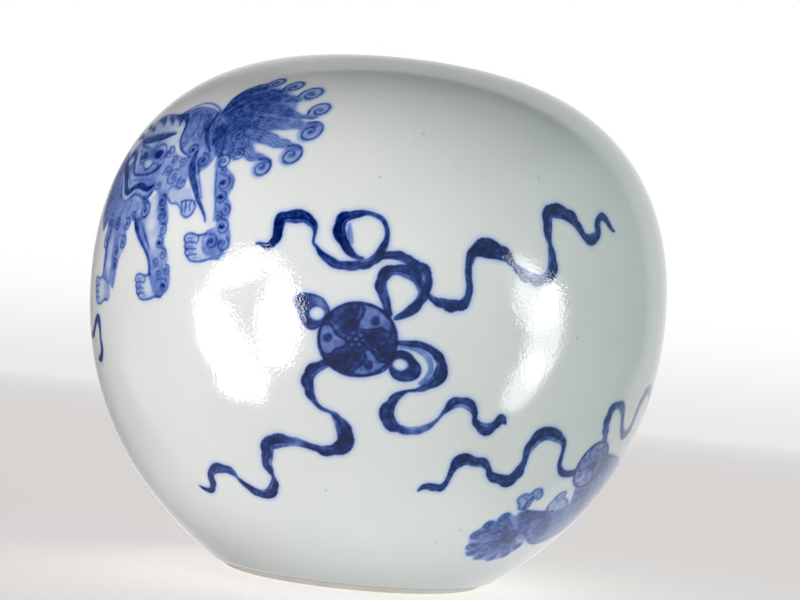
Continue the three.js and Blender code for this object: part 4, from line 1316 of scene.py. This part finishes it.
def turned(name, line, sides, closed=False):
    """A piece turned about +Z from an outline of (radius, height) that starts or ends on the axis."""
    rings = []
    corners, counts, uvs, points, normals = [], [], [], [], []
    run = run_of(line)
    v = run / run[-1] * (1 - 2 * PICTURE_EDGE) + PICTURE_EDGE
    angles = np.linspace(0, 2 * math.pi, SMOOTH_ROUND, endpoint=False)
    for (radius, height), (out, up) in zip(line, sides):
        if radius < 1e-6:
            rings.append(np.full(SMOOTH_ROUND, len(points)))
            points.append((0, 0, height))
            normals.append((0, 0, up))
            continue
        rings.append(len(points) + np.arange(SMOOTH_ROUND))
        points.extend(zip(radius * np.cos(angles), radius * np.sin(angles), np.full(SMOOTH_ROUND, height)))
        normals.extend(zip(out * np.cos(angles), out * np.sin(angles), np.full(SMOOTH_ROUND, up)))
    u = np.linspace(PICTURE_EDGE, 1 - PICTURE_EDGE, SMOOTH_ROUND + 1)
    count = len(rings) if closed else len(rings) - 1
    for k in range(count):
        low, high = rings[k], rings[(k + 1) % len(rings)]
        v0, v1 = v[k], v[k + 1] if k + 1 < len(v) else 1.0
        for i in range(SMOOTH_ROUND):
            j = (i + 1) % SMOOTH_ROUND
            face = [(low[i], u[i], v0), (low[j], u[i + 1], v0), (high[j], u[i + 1], v1), (high[i], u[i], v1)]
            if low[i] == low[j]:
                face.pop(1)
            if high[i] == high[j]:
                face.pop(2)
            corners.extend(c[0] for c in face)
            uvs.extend(c[1:] for c in face)
            counts.append(len(face))
    corners, counts, uvs = np.array(corners), np.array(counts), np.array(uvs)
    return piece(name, np.array(points, float), corners, counts, np.array(normals, float), uvs)


def halved(field, how):
    """Pairs rows and columns of a field into half as many."""
    rows, columns = field.shape
    return how(field.reshape(rows // 2, 2, columns // 2, 2), axis=(1, 3))


def doubled(field):
    return np.repeat(np.repeat(field, 2, 0), 2, 1)


def widened(field):
    """A mask grown by one cell on every side, round the pot too."""
    grown = field | np.roll(field, 1, 1) | np.roll(field, -1, 1)
    grown[1:] |= grown[:-1].copy()
    grown[:-1] |= grown[1:].copy()
    return grown


def painted_faces():
    """Square faces over the net, small where the cobalt changes and large where it doesn't."""
    right = np.roll(cobalt, -1, 1)
    corners = np.stack([cobalt[:-1], cobalt[1:], right[:-1], right[1:]])
    highest = [corners.max(0)]
    lowest = [corners.min(0)]
    levels = int(math.log2(NET_COARSE))
    for _ in range(levels):
        highest.append(halved(highest[-1], np.max))
        lowest.append(halved(lowest[-1], np.min))
    # Coarsest first: a face is split where its cobalt differs by more than its size allows, and
    # its neighbours are split with it, so that no two that touch differ by more than one size.
    wanted = []
    below = None
    for level in range(1, levels + 1):
        split = highest[level] - lowest[level] > SPLIT_AT[level]
        if below is not None:
            split |= halved(widened(below), np.max)
        wanted.append(split)
        below = split
    leaves = []
    alive = np.ones(wanted[-1].shape, bool)
    for level in range(levels, 0, -1):
        split = wanted[level - 1] & alive
        leaves.append((2**level, np.argwhere(alive & ~split)))
        alive = doubled(split)
    leaves.append((1, np.argwhere(alive)))
    return leaves


def outer_coat():
    """The outer coat as a closed shell: the painted face, and a plain back that lies on the body."""
    leaves = painted_faces()
    rows_up, columns = NET_UP + 1, NET_ROUND
    used = np.zeros((rows_up, columns), bool)
    for size, cells in leaves:
        i, j = cells[:, 0] * size, cells[:, 1] * size
        for di, dj in ((0, 0), (0, size), (size, size), (size, 0)):
            used[i + di, (j + dj) % columns] = True
    number = np.full(used.shape, -1)
    number[used] = np.arange(used.sum())
    corner_parts, count_parts, uv_parts = [], [], []
    for size, cells in leaves:
        if not len(cells):
            continue
        i, j = cells[:, 0] * size, cells[:, 1] * size
        half = size // 2
        # Corners and the middles of the sides, anticlockwise from the lower left
        offsets = [
            (0, 0), (0, half), (0, size), (half, size), (size, size), (size, half), (size, 0), (half, 0),
        ]
        index = np.stack([number[i + di, (j + dj) % columns] for di, dj in offsets], 1)
        there = index >= 0
        if half == 0:
            there[:, 1::2] = False
        u = np.stack([(j + dj) / columns for di, dj in offsets], 1)
        v = np.stack([(i + di) / NET_UP * FRONT_SHARE for di, dj in offsets], 1)
        corner_parts.append(index[there])
        uv_parts.append(np.stack([u[there], v[there]], 1))
        count_parts.append(there.sum(1))
    i, j = np.nonzero(used)
    lon = net_lon[j]
    radius, height = net_line[i, 0], net_line[i, 1]
    points = np.stack([radius * np.sin(lon), -radius * np.cos(lon), height], 1)
    out, up = net_side[i, 0], net_side[i, 1]
    normals = np.stack([out * np.sin(lon), -out * np.cos(lon), up], 1)
    values = cobalt[i, j]

    # The back, in the columns of the largest faces: it starts on the front's first ring and is
    # closed to the front's last ring.
    around = np.arange(0, columns, NET_COARSE)
    back = at_runs(outside, np.linspace(0, outside_run, BACK_ROWS + 1))
    back_side = -sides_of(back)
    rings = [number[0, around]]
    lon = net_lon[around]
    for k in range(1, BACK_ROWS + 1):
        rings.append(len(points) + np.arange(len(around)))
        radius, height = back[k]
        out, up = back_side[k]
        ring = np.stack([radius * np.sin(lon), -radius * np.cos(lon), np.full(len(lon), height)], 1)
        side = np.stack([out * np.sin(lon), -out * np.cos(lon), np.full(len(lon), up)], 1)
        points = np.vstack([points, ring])
        normals = np.vstack([normals, side])
        values = np.concatenate([values, np.zeros(len(lon))])
    rings.append(number[NET_UP, around])
    for k, (low, high) in enumerate(zip(rings, rings[1:])):
        quads = np.stack([low, high, np.roll(high, -1), np.roll(low, -1)], 1)
        corner_parts.append(quads.ravel())
        count_parts.append(np.full(len(quads), 4))
        u0 = around / columns
        u1 = u0 + NET_COARSE / columns
        shares = (k / len(rings), (k + 1) / len(rings))
        v0, v1 = (np.full(len(u0), FRONT_SHARE + (1 - FRONT_SHARE) * share) for share in shares)
        uv_parts.append(np.stack([u0, v0, u0, v1, u1, v1, u1, v0], 1).reshape(-1, 2))
    corners = np.concatenate(corner_parts)
    counts = np.concatenate(count_parts)
    uvs = np.vstack(uv_parts)
    return piece("painted_outer_glaze", points, corners, counts, normals, uvs, values)


# Materials

GLAZE_ROUGHNESS = 0.06
GLAZE_IOR = 1.54
# What makes the glaze's surface uneven, each by its size and its height in mm
GLAZE_WAVES = {"melted coat": (4.5, 0.012), "orange peel": (1.1, 0.011), "pores": (0.3, 0.014)}
WHITE_CLOUDS = 14  # mm
WHITE = [(0.3, "#DFE5E5"), (0.7, "#E5EAEA")]
# Cobalt as it fires, from none to the heaviest
FIRED_COBALT = [
    (0.0, "#FFFFFF"), (0.12, "#D0DCFA"), (0.35, "#8099E0"),
    (0.6, "#3A58A8"), (0.8, "#0E2C76"), (1.0, "#00144E"),
]
POOLS = 0.7  # mm
POOLING = (0.82, 1.16)  # how thin and how thick the cobalt lies there
BARE_ROUGHNESS = 0.7
BARE_IOR = 1.5
GRIT = (0.35, 0.03)  # its size and its height in mm
STAINS = 5  # mm


def linear(code):
    """A hex colour as linear red, green, blue and alpha."""
    parts = [int(code[k : k + 2], 16) / 255 for k in (1, 3, 5)]
    return (*(c / 12.92 if c <= 0.04045 else ((c + 0.055) / 1.055) ** 2.4 for c in parts), 1)


def add(tree, kind, inputs=None, stops=None, **settings):
    """Adds a node with its settings, a ramp's stops, and values or links for its inputs. Where a
    node is given as an input, it stands for its first output in use."""
    node = tree.nodes.new(kind)
    for name, value in settings.items():
        setattr(node, name, value)
    for name, value in (inputs or {}).items():
        if isinstance(value, bpy.types.Node):
            value = next(output for output in value.outputs if output.enabled)
        if isinstance(value, bpy.types.NodeSocket):
            tree.links.new(value, node.inputs[name])
        else:
            node.inputs[name].default_value = value
    if stops:
        elements = node.color_ramp.elements
        elements.remove(elements[1])
        elements[0].position, elements[0].color = stops[0][0], linear(stops[0][1])
        for place, code in stops[1:]:
            elements.new(place).color = linear(code)
    return node


def new_material(name):
    material = bpy.data.materials.new(name)
    material.use_nodes = True
    tree = material.node_tree
    tree.nodes.clear()
    return material, tree


def per_mm(millimetres):
    """A noise texture's scale for features of a size."""
    return 1 / (millimetres * MM)


def finish_glaze(tree, colour):
    """The glaze's surface: very smooth, with the slight waviness of a melted coat."""
    place = add(tree, "ShaderNodeTexCoord").outputs["Object"]
    under = {}
    for size, height in GLAZE_WAVES.values():
        wave = add(tree, "ShaderNodeTexNoise", {"Vector": place, "Scale": per_mm(size), "Detail": 1.0})
        rise = {"Height": wave, "Distance": height * MM, "Strength": 1.0}
        under = {"Normal": add(tree, "ShaderNodeBump", {**rise, **under})}
    glossy = {"Base Color": colour, "Roughness": GLAZE_ROUGHNESS, "IOR": GLAZE_IOR, **under}
    add(tree, "ShaderNodeOutputMaterial", {"Surface": add(tree, "ShaderNodeBsdfPrincipled", glossy)})


def uneven_white(tree):
    """The faint clouding of the bluish-white coat."""
    place = add(tree, "ShaderNodeTexCoord").outputs["Object"]
    cloud = add(tree, "ShaderNodeTexNoise", {"Vector": place, "Scale": per_mm(WHITE_CLOUDS), "Detail": 2.0})
    return add(tree, "ShaderNodeValToRGB", {"Fac": cloud}, stops=WHITE)


def clear_glaze():
    """Clear porcelain glaze, fired to a gloss over the white body."""
    material, tree = new_material("clear porcelain glaze")
    finish_glaze(tree, uneven_white(tree))
    return material


def painted_glaze():
    """The same glaze over cobalt, brushed on the raw body. A thin wash fires to a clear blue and a
    heavy one to a dark navy that gathers in specks."""
    material, tree = new_material("porcelain glaze over cobalt painting")
    place = add(tree, "ShaderNodeTexCoord").outputs["Object"]
    laid = add(tree, "ShaderNodeAttribute", attribute_name="cobalt").outputs["Fac"]
    pools = add(tree, "ShaderNodeTexNoise", {"Vector": place, "Scale": per_mm(POOLS), "Detail": 2.0})
    thin, thick = POOLING
    pooled = {"Value": pools, "From Min": 0.3, "From Max": 0.7, "To Min": thin, "To Max": thick}
    heaped = add(tree, "ShaderNodeMapRange", pooled)
    amount = add(tree, "ShaderNodeMath", {0: laid, 1: heaped}, operation="MULTIPLY")
    blue = add(tree, "ShaderNodeValToRGB", {"Fac": amount}, stops=FIRED_COBALT)
    both = {"Factor": 1.0, "A": uneven_white(tree), "B": blue}
    finish_glaze(tree, add(tree, "ShaderNodeMix", both, data_type="RGBA", blend_type="MULTIPLY"))
    return material


def bare_porcelain(name, pale, deep):
    """Fired porcelain without glaze: fine, dry and faintly warm, with a little grit."""
    material, tree = new_material(name)
    place = add(tree, "ShaderNodeTexCoord").outputs["Object"]
    size, height = GRIT
    grit = add(tree, "ShaderNodeTexNoise", {"Vector": place, "Scale": per_mm(size), "Detail": 3.0})
    bump = add(tree, "ShaderNodeBump", {"Height": grit, "Distance": height * MM, "Strength": 1.0})
    stain = add(tree, "ShaderNodeTexNoise", {"Vector": place, "Scale": per_mm(STAINS), "Detail": 3.0})
    colour = add(tree, "ShaderNodeValToRGB", {"Fac": stain}, stops=[(0.35, deep), (0.65, pale)])
    dry = {"Base Color": colour, "Roughness": BARE_ROUGHNESS, "IOR": BARE_IOR, "Normal": bump}
    add(tree, "ShaderNodeOutputMaterial", {"Surface": add(tree, "ShaderNodeBsdfPrincipled", dry)})
    return material


def wear(made, material):
    made.data.materials.clear()
    made.data.materials.append(material)


painted = painted_glaze()
clear = clear_glaze()
biscuit = bare_porcelain("bare biscuit porcelain", "#F0EEEA", "#E8E4DC")
slip = bare_porcelain("fired porcelain slip", "#E6E1D6", "#DAD2C4")

# The pieces

painting()

outer = outer_coat()
wear(outer, painted)
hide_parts("outer_glaze")
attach(outer, "root")

split = int(np.searchsorted(coat_run, parting))
inner_line = np.vstack([covered[split:][::-1], coat[split:]])
inner_sides = np.vstack([-sides_of(covered)[split:][::-1], coat_sides[split:]])
inner = turned("smooth_inner_glaze", inner_line, inner_sides)
wear(inner, clear)
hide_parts("inner_glaze")
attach(inner, "root")

foot_inner = FOOT_RADIUS - FOOT_ROUND - FOOT_WIDTH
base_edge = (foot_inner - FOOT_DRAFT, FOOT_HEIGHT)
BASE_COVE = 0.75  # where the base turns up into the wall of the ring
INNER_EASE = 0.35  # the ring's inner edge


def base_glaze_outline():
    """The coat in the foot's recess: flat, coved into the wall of the ring, and thinned at its edge."""
    lean = math.degrees(math.atan2(FOOT_DRAFT, FOOT_HEIGHT))
    edge = (foot_inner - FOOT_DRAFT * GLAZE_LINE / FOOT_HEIGHT, GLAZE_LINE)
    under = FOOT_HEIGHT - GLAZE
    bend = arc((base_edge[0] - GLAZE - BASE_COVE, under - BASE_COVE), BASE_COVE, 90, lean)
    front = joined(np.array([[0, under], [base_edge[0] / 2, under]]), bend, np.array([edge]))
    back = np.array([edge, base_edge, [0, FOOT_HEIGHT]])
    return front, back


front, back = base_glaze_outline()
base = turned("smooth_base_glaze", np.vstack([front, back]), np.vstack([sides_of(front), sides_of(back)]))
wear(base, clear)
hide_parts("base_glaze")
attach(base, "root")


def foot_outline():
    """The bare ring that the pot rests on, with both its edges eased."""
    wall = from_height(lower_wall, FOOT_ROUND)
    outer_round = bezier_quadratic((FOOT_RADIUS - FOOT_ROUND, 0), (FOOT_RADIUS, 0), wall[0])
    wall = wall[wall[:, 1] < FOOT_HEIGHT]
    top = from_height(lower_wall, FOOT_HEIGHT)[:1]
    inner_round = arc((foot_inner + INNER_EASE, INNER_EASE), INNER_EASE, 180, 270, 8)
    return joined(np.array([base_edge]), inner_round, outer_round, wall, top)


ring_line = foot_outline()
foot = turned("smooth_foot_ring", ring_line, sides_of(ring_line), closed=True)
wear(foot, biscuit)
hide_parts("foot_ring")
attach(foot, "root")

for name in ("lower_body", "upper_body", "mouth_rim"):
    wear(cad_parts[name], biscuit)
wear(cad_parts["luting_band"], slip)

# The camera

CAMERA_DISTANCE = 200  # mm from the pot's axis
CAMERA_RISE = -2.313  # degrees above level
CAMERA_ROLL = 5.689  # degrees
AIM_HEIGHT = 32  # mm: this point of the axis is seen at the pixel below
AIM_PIXEL = (375.861, 330.677)
FOCAL_PIXELS = 1512.4
PICTURE = (800, 600)
SENSOR_WIDTH = 36  # mm


def stood(right, up, back, place):
    """The matrix of a camera or a lamp that stands at a place, in metres, and looks away from its back."""
    matrix = Matrix.Identity(4)
    for row in range(3):
        matrix[row] = (right[row], up[row], back[row], place[row])
    return matrix


def photograph_camera():
    """The photograph's camera: the axis leans a little in the picture and the lens looks slightly up."""
    rise = math.radians(CAMERA_RISE)
    place = np.array([0, -CAMERA_DISTANCE * math.cos(rise), AIM_HEIGHT + CAMERA_DISTANCE * math.sin(rise)])
    ahead = np.array([0, math.cos(rise), -math.sin(rise)])
    right = np.array([1.0, 0, 0])
    up = np.cross(right, ahead)
    aside, below = AIM_PIXEL[0] - PICTURE[0] / 2, AIM_PIXEL[1] - PICTURE[1] / 2
    aim = np.array([aside / FOCAL_PIXELS, -below / FOCAL_PIXELS, 1])
    aim /= np.linalg.norm(aim)
    axis = np.cross([0, 0, 1], aim)
    sine = np.linalg.norm(axis)
    x, y, z = axis / sine
    cross = np.array([[0, -z, y], [z, 0, -x], [-y, x, 0]])
    swing = np.eye(3) + sine * cross + (1 - aim[2]) * cross @ cross
    roll = math.radians(CAMERA_ROLL)
    c, s = math.cos(roll), math.sin(roll)
    turn = np.array([[c, s, 0], [-s, c, 0], [0, 0, 1]])
    right, up, ahead = swing @ turn @ np.stack([right, up, ahead])
    data = bpy.data.cameras.new("photograph_camera")
    data.sensor_width = SENSOR_WIDTH
    data.lens = FOCAL_PIXELS / PICTURE[0] * data.sensor_width
    data.clip_start = 0.01
    camera = bpy.data.objects.new("photograph_camera", data)
    camera.matrix_world = stood(right, up, -ahead, place * MM)
    bpy.context.scene.collection.objects.link(camera)
    return camera


bpy.context.scene.camera = photograph_camera()

# The table

TABLE_RADIUS = 3.0  # metres
TABLE_SIDES_ROUND = 96
TABLE_FADE = (0.2, 2.8)  # metres: it fades into the backdrop from the first to the second
TABLE_DROP = 0.1  # mm under the foot, so that no two faces share a plane
TABLE_LIGHT = (1, 0.94, 0.93, 1)
TABLE_GLOW = 0.31  # the daylight that it throws back all over
FLOOR_LIFT = 0.3  # how much brighter it is in the picture
HORIZON = 0.82  # how bright the table and the backdrop look where they meet
# Daylight that falls on parts of the table and lights the pot from below: azimuth, amount, then where
# it begins and is full on that side, and from where to where round the pot's axis, in metres
TABLE_PATCHES = {
    "towards left": (-50, 2.1, 0.06, 0.12, 0.02, 9.0),
    "towards front": (-15, 1.1, 0.06, 0.12, 0.02, 9.0),
    "before the foot": (-20, 0.88, -0.02, 0.03, 0.03, 0.045),
}
PATCH_SOFTNESS = 0.01  # metres


def grey(value):
    return (value, value, value, 1)


def cool(value):
    """Daylight with a green cast."""
    return (0.73 * value, value, 0.94 * value, 1)


def pale_floor():
    """A plain pale table that fades into the white behind it."""
    angles = np.linspace(0, 2 * math.pi, TABLE_SIDES_ROUND, endpoint=False)
    edge = [(TABLE_RADIUS * math.cos(a), TABLE_RADIUS * math.sin(a), -TABLE_DROP * MM) for a in angles]
    mesh = bpy.data.meshes.new("floor")
    mesh.from_pydata(edge, [], [list(range(TABLE_SIDES_ROUND))])
    made = bpy.data.objects.new("floor", mesh)
    bpy.context.scene.collection.objects.link(made)
    material, tree = new_material("pale table")
    place = add(tree, "ShaderNodeTexCoord").outputs["Object"]
    distance = add(tree, "ShaderNodeVectorMath", {0: place}, operation="LENGTH")
    seen = add(tree, "ShaderNodeLightPath").outputs["Is Camera Ray"]
    unseen = add(tree, "ShaderNodeMath", {0: 1.0, 1: seen}, operation="SUBTRACT")
    strength = add(tree, "ShaderNodeMath", {0: seen, 1: FLOOR_LIFT, 2: TABLE_GLOW}, operation="MULTIPLY_ADD")
    for azimuth, amount, begin, full, inner, outer in TABLE_PATCHES.values():
        a = math.radians(azimuth)
        towards = {0: place, 1: (math.sin(a), -math.cos(a), 0)}
        reach = add(tree, "ShaderNodeVectorMath", towards, operation="DOT_PRODUCT")
        patch = unseen
        for limits in (
            {"Value": reach, "From Min": begin, "From Max": full, "To Max": amount},
            {"Value": distance, "From Min": inner - PATCH_SOFTNESS, "From Max": inner + PATCH_SOFTNESS},
            {"Value": distance, "From Min": outer + PATCH_SOFTNESS, "From Max": outer - PATCH_SOFTNESS},
        ):
            share = add(tree, "ShaderNodeMapRange", limits, interpolation_type="SMOOTHSTEP")
            patch = add(tree, "ShaderNodeMath", {0: patch, 1: share}, operation="MULTIPLY")
        strength = add(tree, "ShaderNodeMath", {0: strength, 1: patch}, operation="ADD")
    plain = add(tree, "ShaderNodeBsdfDiffuse", {"Color": linear("#E2E2DE")})
    lit = add(tree, "ShaderNodeEmission", {"Color": TABLE_LIGHT, "Strength": strength})
    near = add(tree, "ShaderNodeAddShader", {0: plain, 1: lit})
    white = add(tree, "ShaderNodeEmission", {"Color": grey(1.0), "Strength": HORIZON})
    limits = {"Value": distance, "From Min": TABLE_FADE[0], "From Max": TABLE_FADE[1]}
    fade = add(tree, "ShaderNodeMapRange", limits, interpolation_type="SMOOTHSTEP")
    share = add(tree, "ShaderNodeMath", {0: fade, 1: seen}, operation="MULTIPLY")
    both = add(tree, "ShaderNodeMixShader", {0: share, 1: near, 2: white})
    add(tree, "ShaderNodeOutputMaterial", {"Surface": both})
    wear(made, material)
    made.visible_glossy = False
    return made


pale_floor()

# The room, as the pot sees it: a white backdrop, and greyer walls. It is dark overhead.
ROOM = {"behind": 0.95, "behind, unseen": 0.6, "front": 0.56, "behind left": 0.12}
# How far a direction points that way, between -1 and 1, where a part of the room begins and is full
ROOM_EDGES = {
    "behind": (0.6, 0.65), "above": (0.15, 0.45), "right": (-0.3, 0.5), "left": (-0.15, -0.45),
    "backdrop over table": (-0.01, 0.07),
}
BACKDROP_LEANS = (0.1, -0.4)  # its edge, that the glaze shows as a band along the contour, up and down
CEILING_TILT = -0.6  # it comes down lower on the left than on the right, where the backdrop is higher


def room():
    """The world's light. The camera sees white, a little greyer where it meets the table."""
    world = bpy.data.worlds.new("room")
    world.use_nodes = True
    tree = world.node_tree
    tree.nodes.clear()
    direction = add(tree, "ShaderNodeTexCoord").outputs["Generated"]
    parts = add(tree, "ShaderNodeSeparateXYZ", {"Vector": direction})
    x, y, z = (parts.outputs[axis] for axis in "XYZ")
    path = add(tree, "ShaderNodeLightPath")
    mirrored = path.outputs["Is Glossy Ray"]
    leaning = {}
    for k, lean in enumerate(BACKDROP_LEANS):
        leaning[k] = add(tree, "ShaderNodeMath", {0: z, 1: lean, 2: y}, operation="MULTIPLY_ADD")
    edge = add(tree, "ShaderNodeMath", leaning, operation="MAXIMUM")
    tilted = add(tree, "ShaderNodeMath", {0: x, 1: CEILING_TILT, 2: z}, operation="MULTIPLY_ADD")
    ways = {"behind": edge, "above": tilted, "right": x, "left": x, "backdrop over table": z}
    shares = {}
    for part, way in ways.items():
        limits = {"Value": way, "From Min": ROOM_EDGES[part][0], "From Max": ROOM_EDGES[part][1]}
        shares[part] = add(tree, "ShaderNodeMapRange", limits, interpolation_type="SMOOTHSTEP")
    below = add(tree, "ShaderNodeMath", {0: 1.0, 1: shares["above"]}, operation="SUBTRACT")
    shown = add(tree, "ShaderNodeMath", {0: below, 1: mirrored}, operation="MAXIMUM")
    backed = add(tree, "ShaderNodeMath", {0: shares["behind"], 1: shown}, operation="MULTIPLY")
    mixed = {}
    for name, share, first, second in (
        ("front", shares["right"], grey(ROOM["front"]), cool(ROOM["front"])),
        ("walls", shares["above"], "front", grey(0.0)),
        ("paper", shares["left"], grey(ROOM["behind"]), grey(ROOM["behind left"])),
        ("backing", mirrored, grey(ROOM["behind, unseen"]), "paper"),
        ("around", backed, "walls", "backing"),
        ("seen", shares["backdrop over table"], grey(HORIZON), grey(1.0)),
        ("all", path.outputs["Is Camera Ray"], "around", "seen"),
    ):
        both = {"Factor": share, "A": mixed.get(first, first), "B": mixed.get(second, second)}
        mixed[name] = add(tree, "ShaderNodeMix", both, data_type="RGBA")
    backdrop = add(tree, "ShaderNodeBackground", {"Color": mixed["all"], "Strength": 1.0})
    add(tree, "ShaderNodeOutputWorld", {"Surface": backdrop})
    return world


bpy.context.scene.world = room()

# The lamps

WINDOW_DISTANCE = 1.5  # metres
WINDOW_WARM = (1, 0.9, 0.87)
# Azimuth to the right of the camera's side, rise, width and height in degrees, then the radiance
LEFT_WINDOW = (-58, -12, 40, 46, 0.6)
# What the glaze mirrors of each window, in ovals: the same, and each oval's turn
GLINTS = {
    "left window, near pane": (-59.5, -19.5, 17.5, 39, 9.0, 33),
    "left window, sill": (-55, -28.5, 22, 11, 9.0, 4),
    "left window, far pane": (-36.8, -12.3, 17.5, 27.5, 9.0, -8),
    "left window, top": (-52.5, 3, 28, 8, 9.0, 14),
    "left window, corner": (-36.5, -0.5, 7, 12, 9.0, 28),
    "right window, top": (54, 11, 14, 6, 5.5, -12),
    "right window, near pane": (60.5, 2.5, 21, 15, 5.5, -12),
    "right window, far pane": (66.5, -6, 16, 28, 5.5, -4),
    "right window, sill": (63, -20, 12, 20, 5.5, -22),
}
MOUTH_LAMP_HEIGHT = 250  # mm
MOUTH_LAMP_ACROSS = 18  # mm, of its light at the mouth
MOUTH_LAMP_WATTS = 0.9


def lamp(name, kind):
    """A lamp that lights things and can be mirrored, but doesn't show as a shape in the picture."""
    data = bpy.data.lights.new(name, kind)
    data.use_nodes = True
    tree = data.node_tree
    seen = add(tree, "ShaderNodeLightPath").outputs["Is Camera Ray"]
    unseen = add(tree, "ShaderNodeMath", {0: 1.0, 1: seen}, operation="SUBTRACT")
    tree.links.new(unseen.outputs["Value"], tree.nodes["Emission"].inputs["Strength"])
    made = bpy.data.objects.new(name, data)
    bpy.context.scene.collection.objects.link(made)
    return made, data


def soft_window(name, azimuth, rise, width, height, radiance, turn=0, shape="RECTANGLE"):
    """A flat light that faces the pot."""
    made, data = lamp(name, "AREA")
    data.shape = shape
    data.size = 2 * WINDOW_DISTANCE * math.tan(math.radians(width / 2))
    data.size_y = 2 * WINDOW_DISTANCE * math.tan(math.radians(height / 2))
    data.energy = radiance * math.pi * data.size * data.size_y
    a, e = math.radians(azimuth), math.radians(rise)
    away = np.array([math.sin(a) * math.cos(e), -math.cos(a) * math.cos(e), math.sin(e)])
    side = np.array([math.cos(a), math.sin(a), 0])
    up = np.cross(away, side)
    c, s = math.cos(math.radians(turn)), math.sin(math.radians(turn))
    side, up = c * side + s * up, c * up - s * side
    made.matrix_world = stood(side, up, away, away * WINDOW_DISTANCE + np.array([0, 0, BELLY_HEIGHT * MM]))
    return made


window = soft_window("left window", *LEFT_WINDOW)
window.data.color = WINDOW_WARM
window.visible_glossy = False
for name, row in GLINTS.items():
    soft_window(name, *row, shape="ELLIPSE").visible_diffuse = False


def light_into_the_mouth():
    """Daylight from overhead that falls through the mouth, so that the inside can be seen."""
    made, data = lamp("into the mouth", "SPOT")
    data.energy = MOUTH_LAMP_WATTS
    data.spot_size = 2 * math.atan2(MOUTH_LAMP_ACROSS / 2, MOUTH_LAMP_HEIGHT - CREST_HEIGHT)
    data.spot_blend = 0.4
    data.shadow_soft_size = 0.002
    made.location = (0, 0, MOUTH_LAMP_HEIGHT * MM)
    made.visible_glossy = False


light_into_the_mouth()

bpy.context.scene.view_settings.view_transform = "Standard"
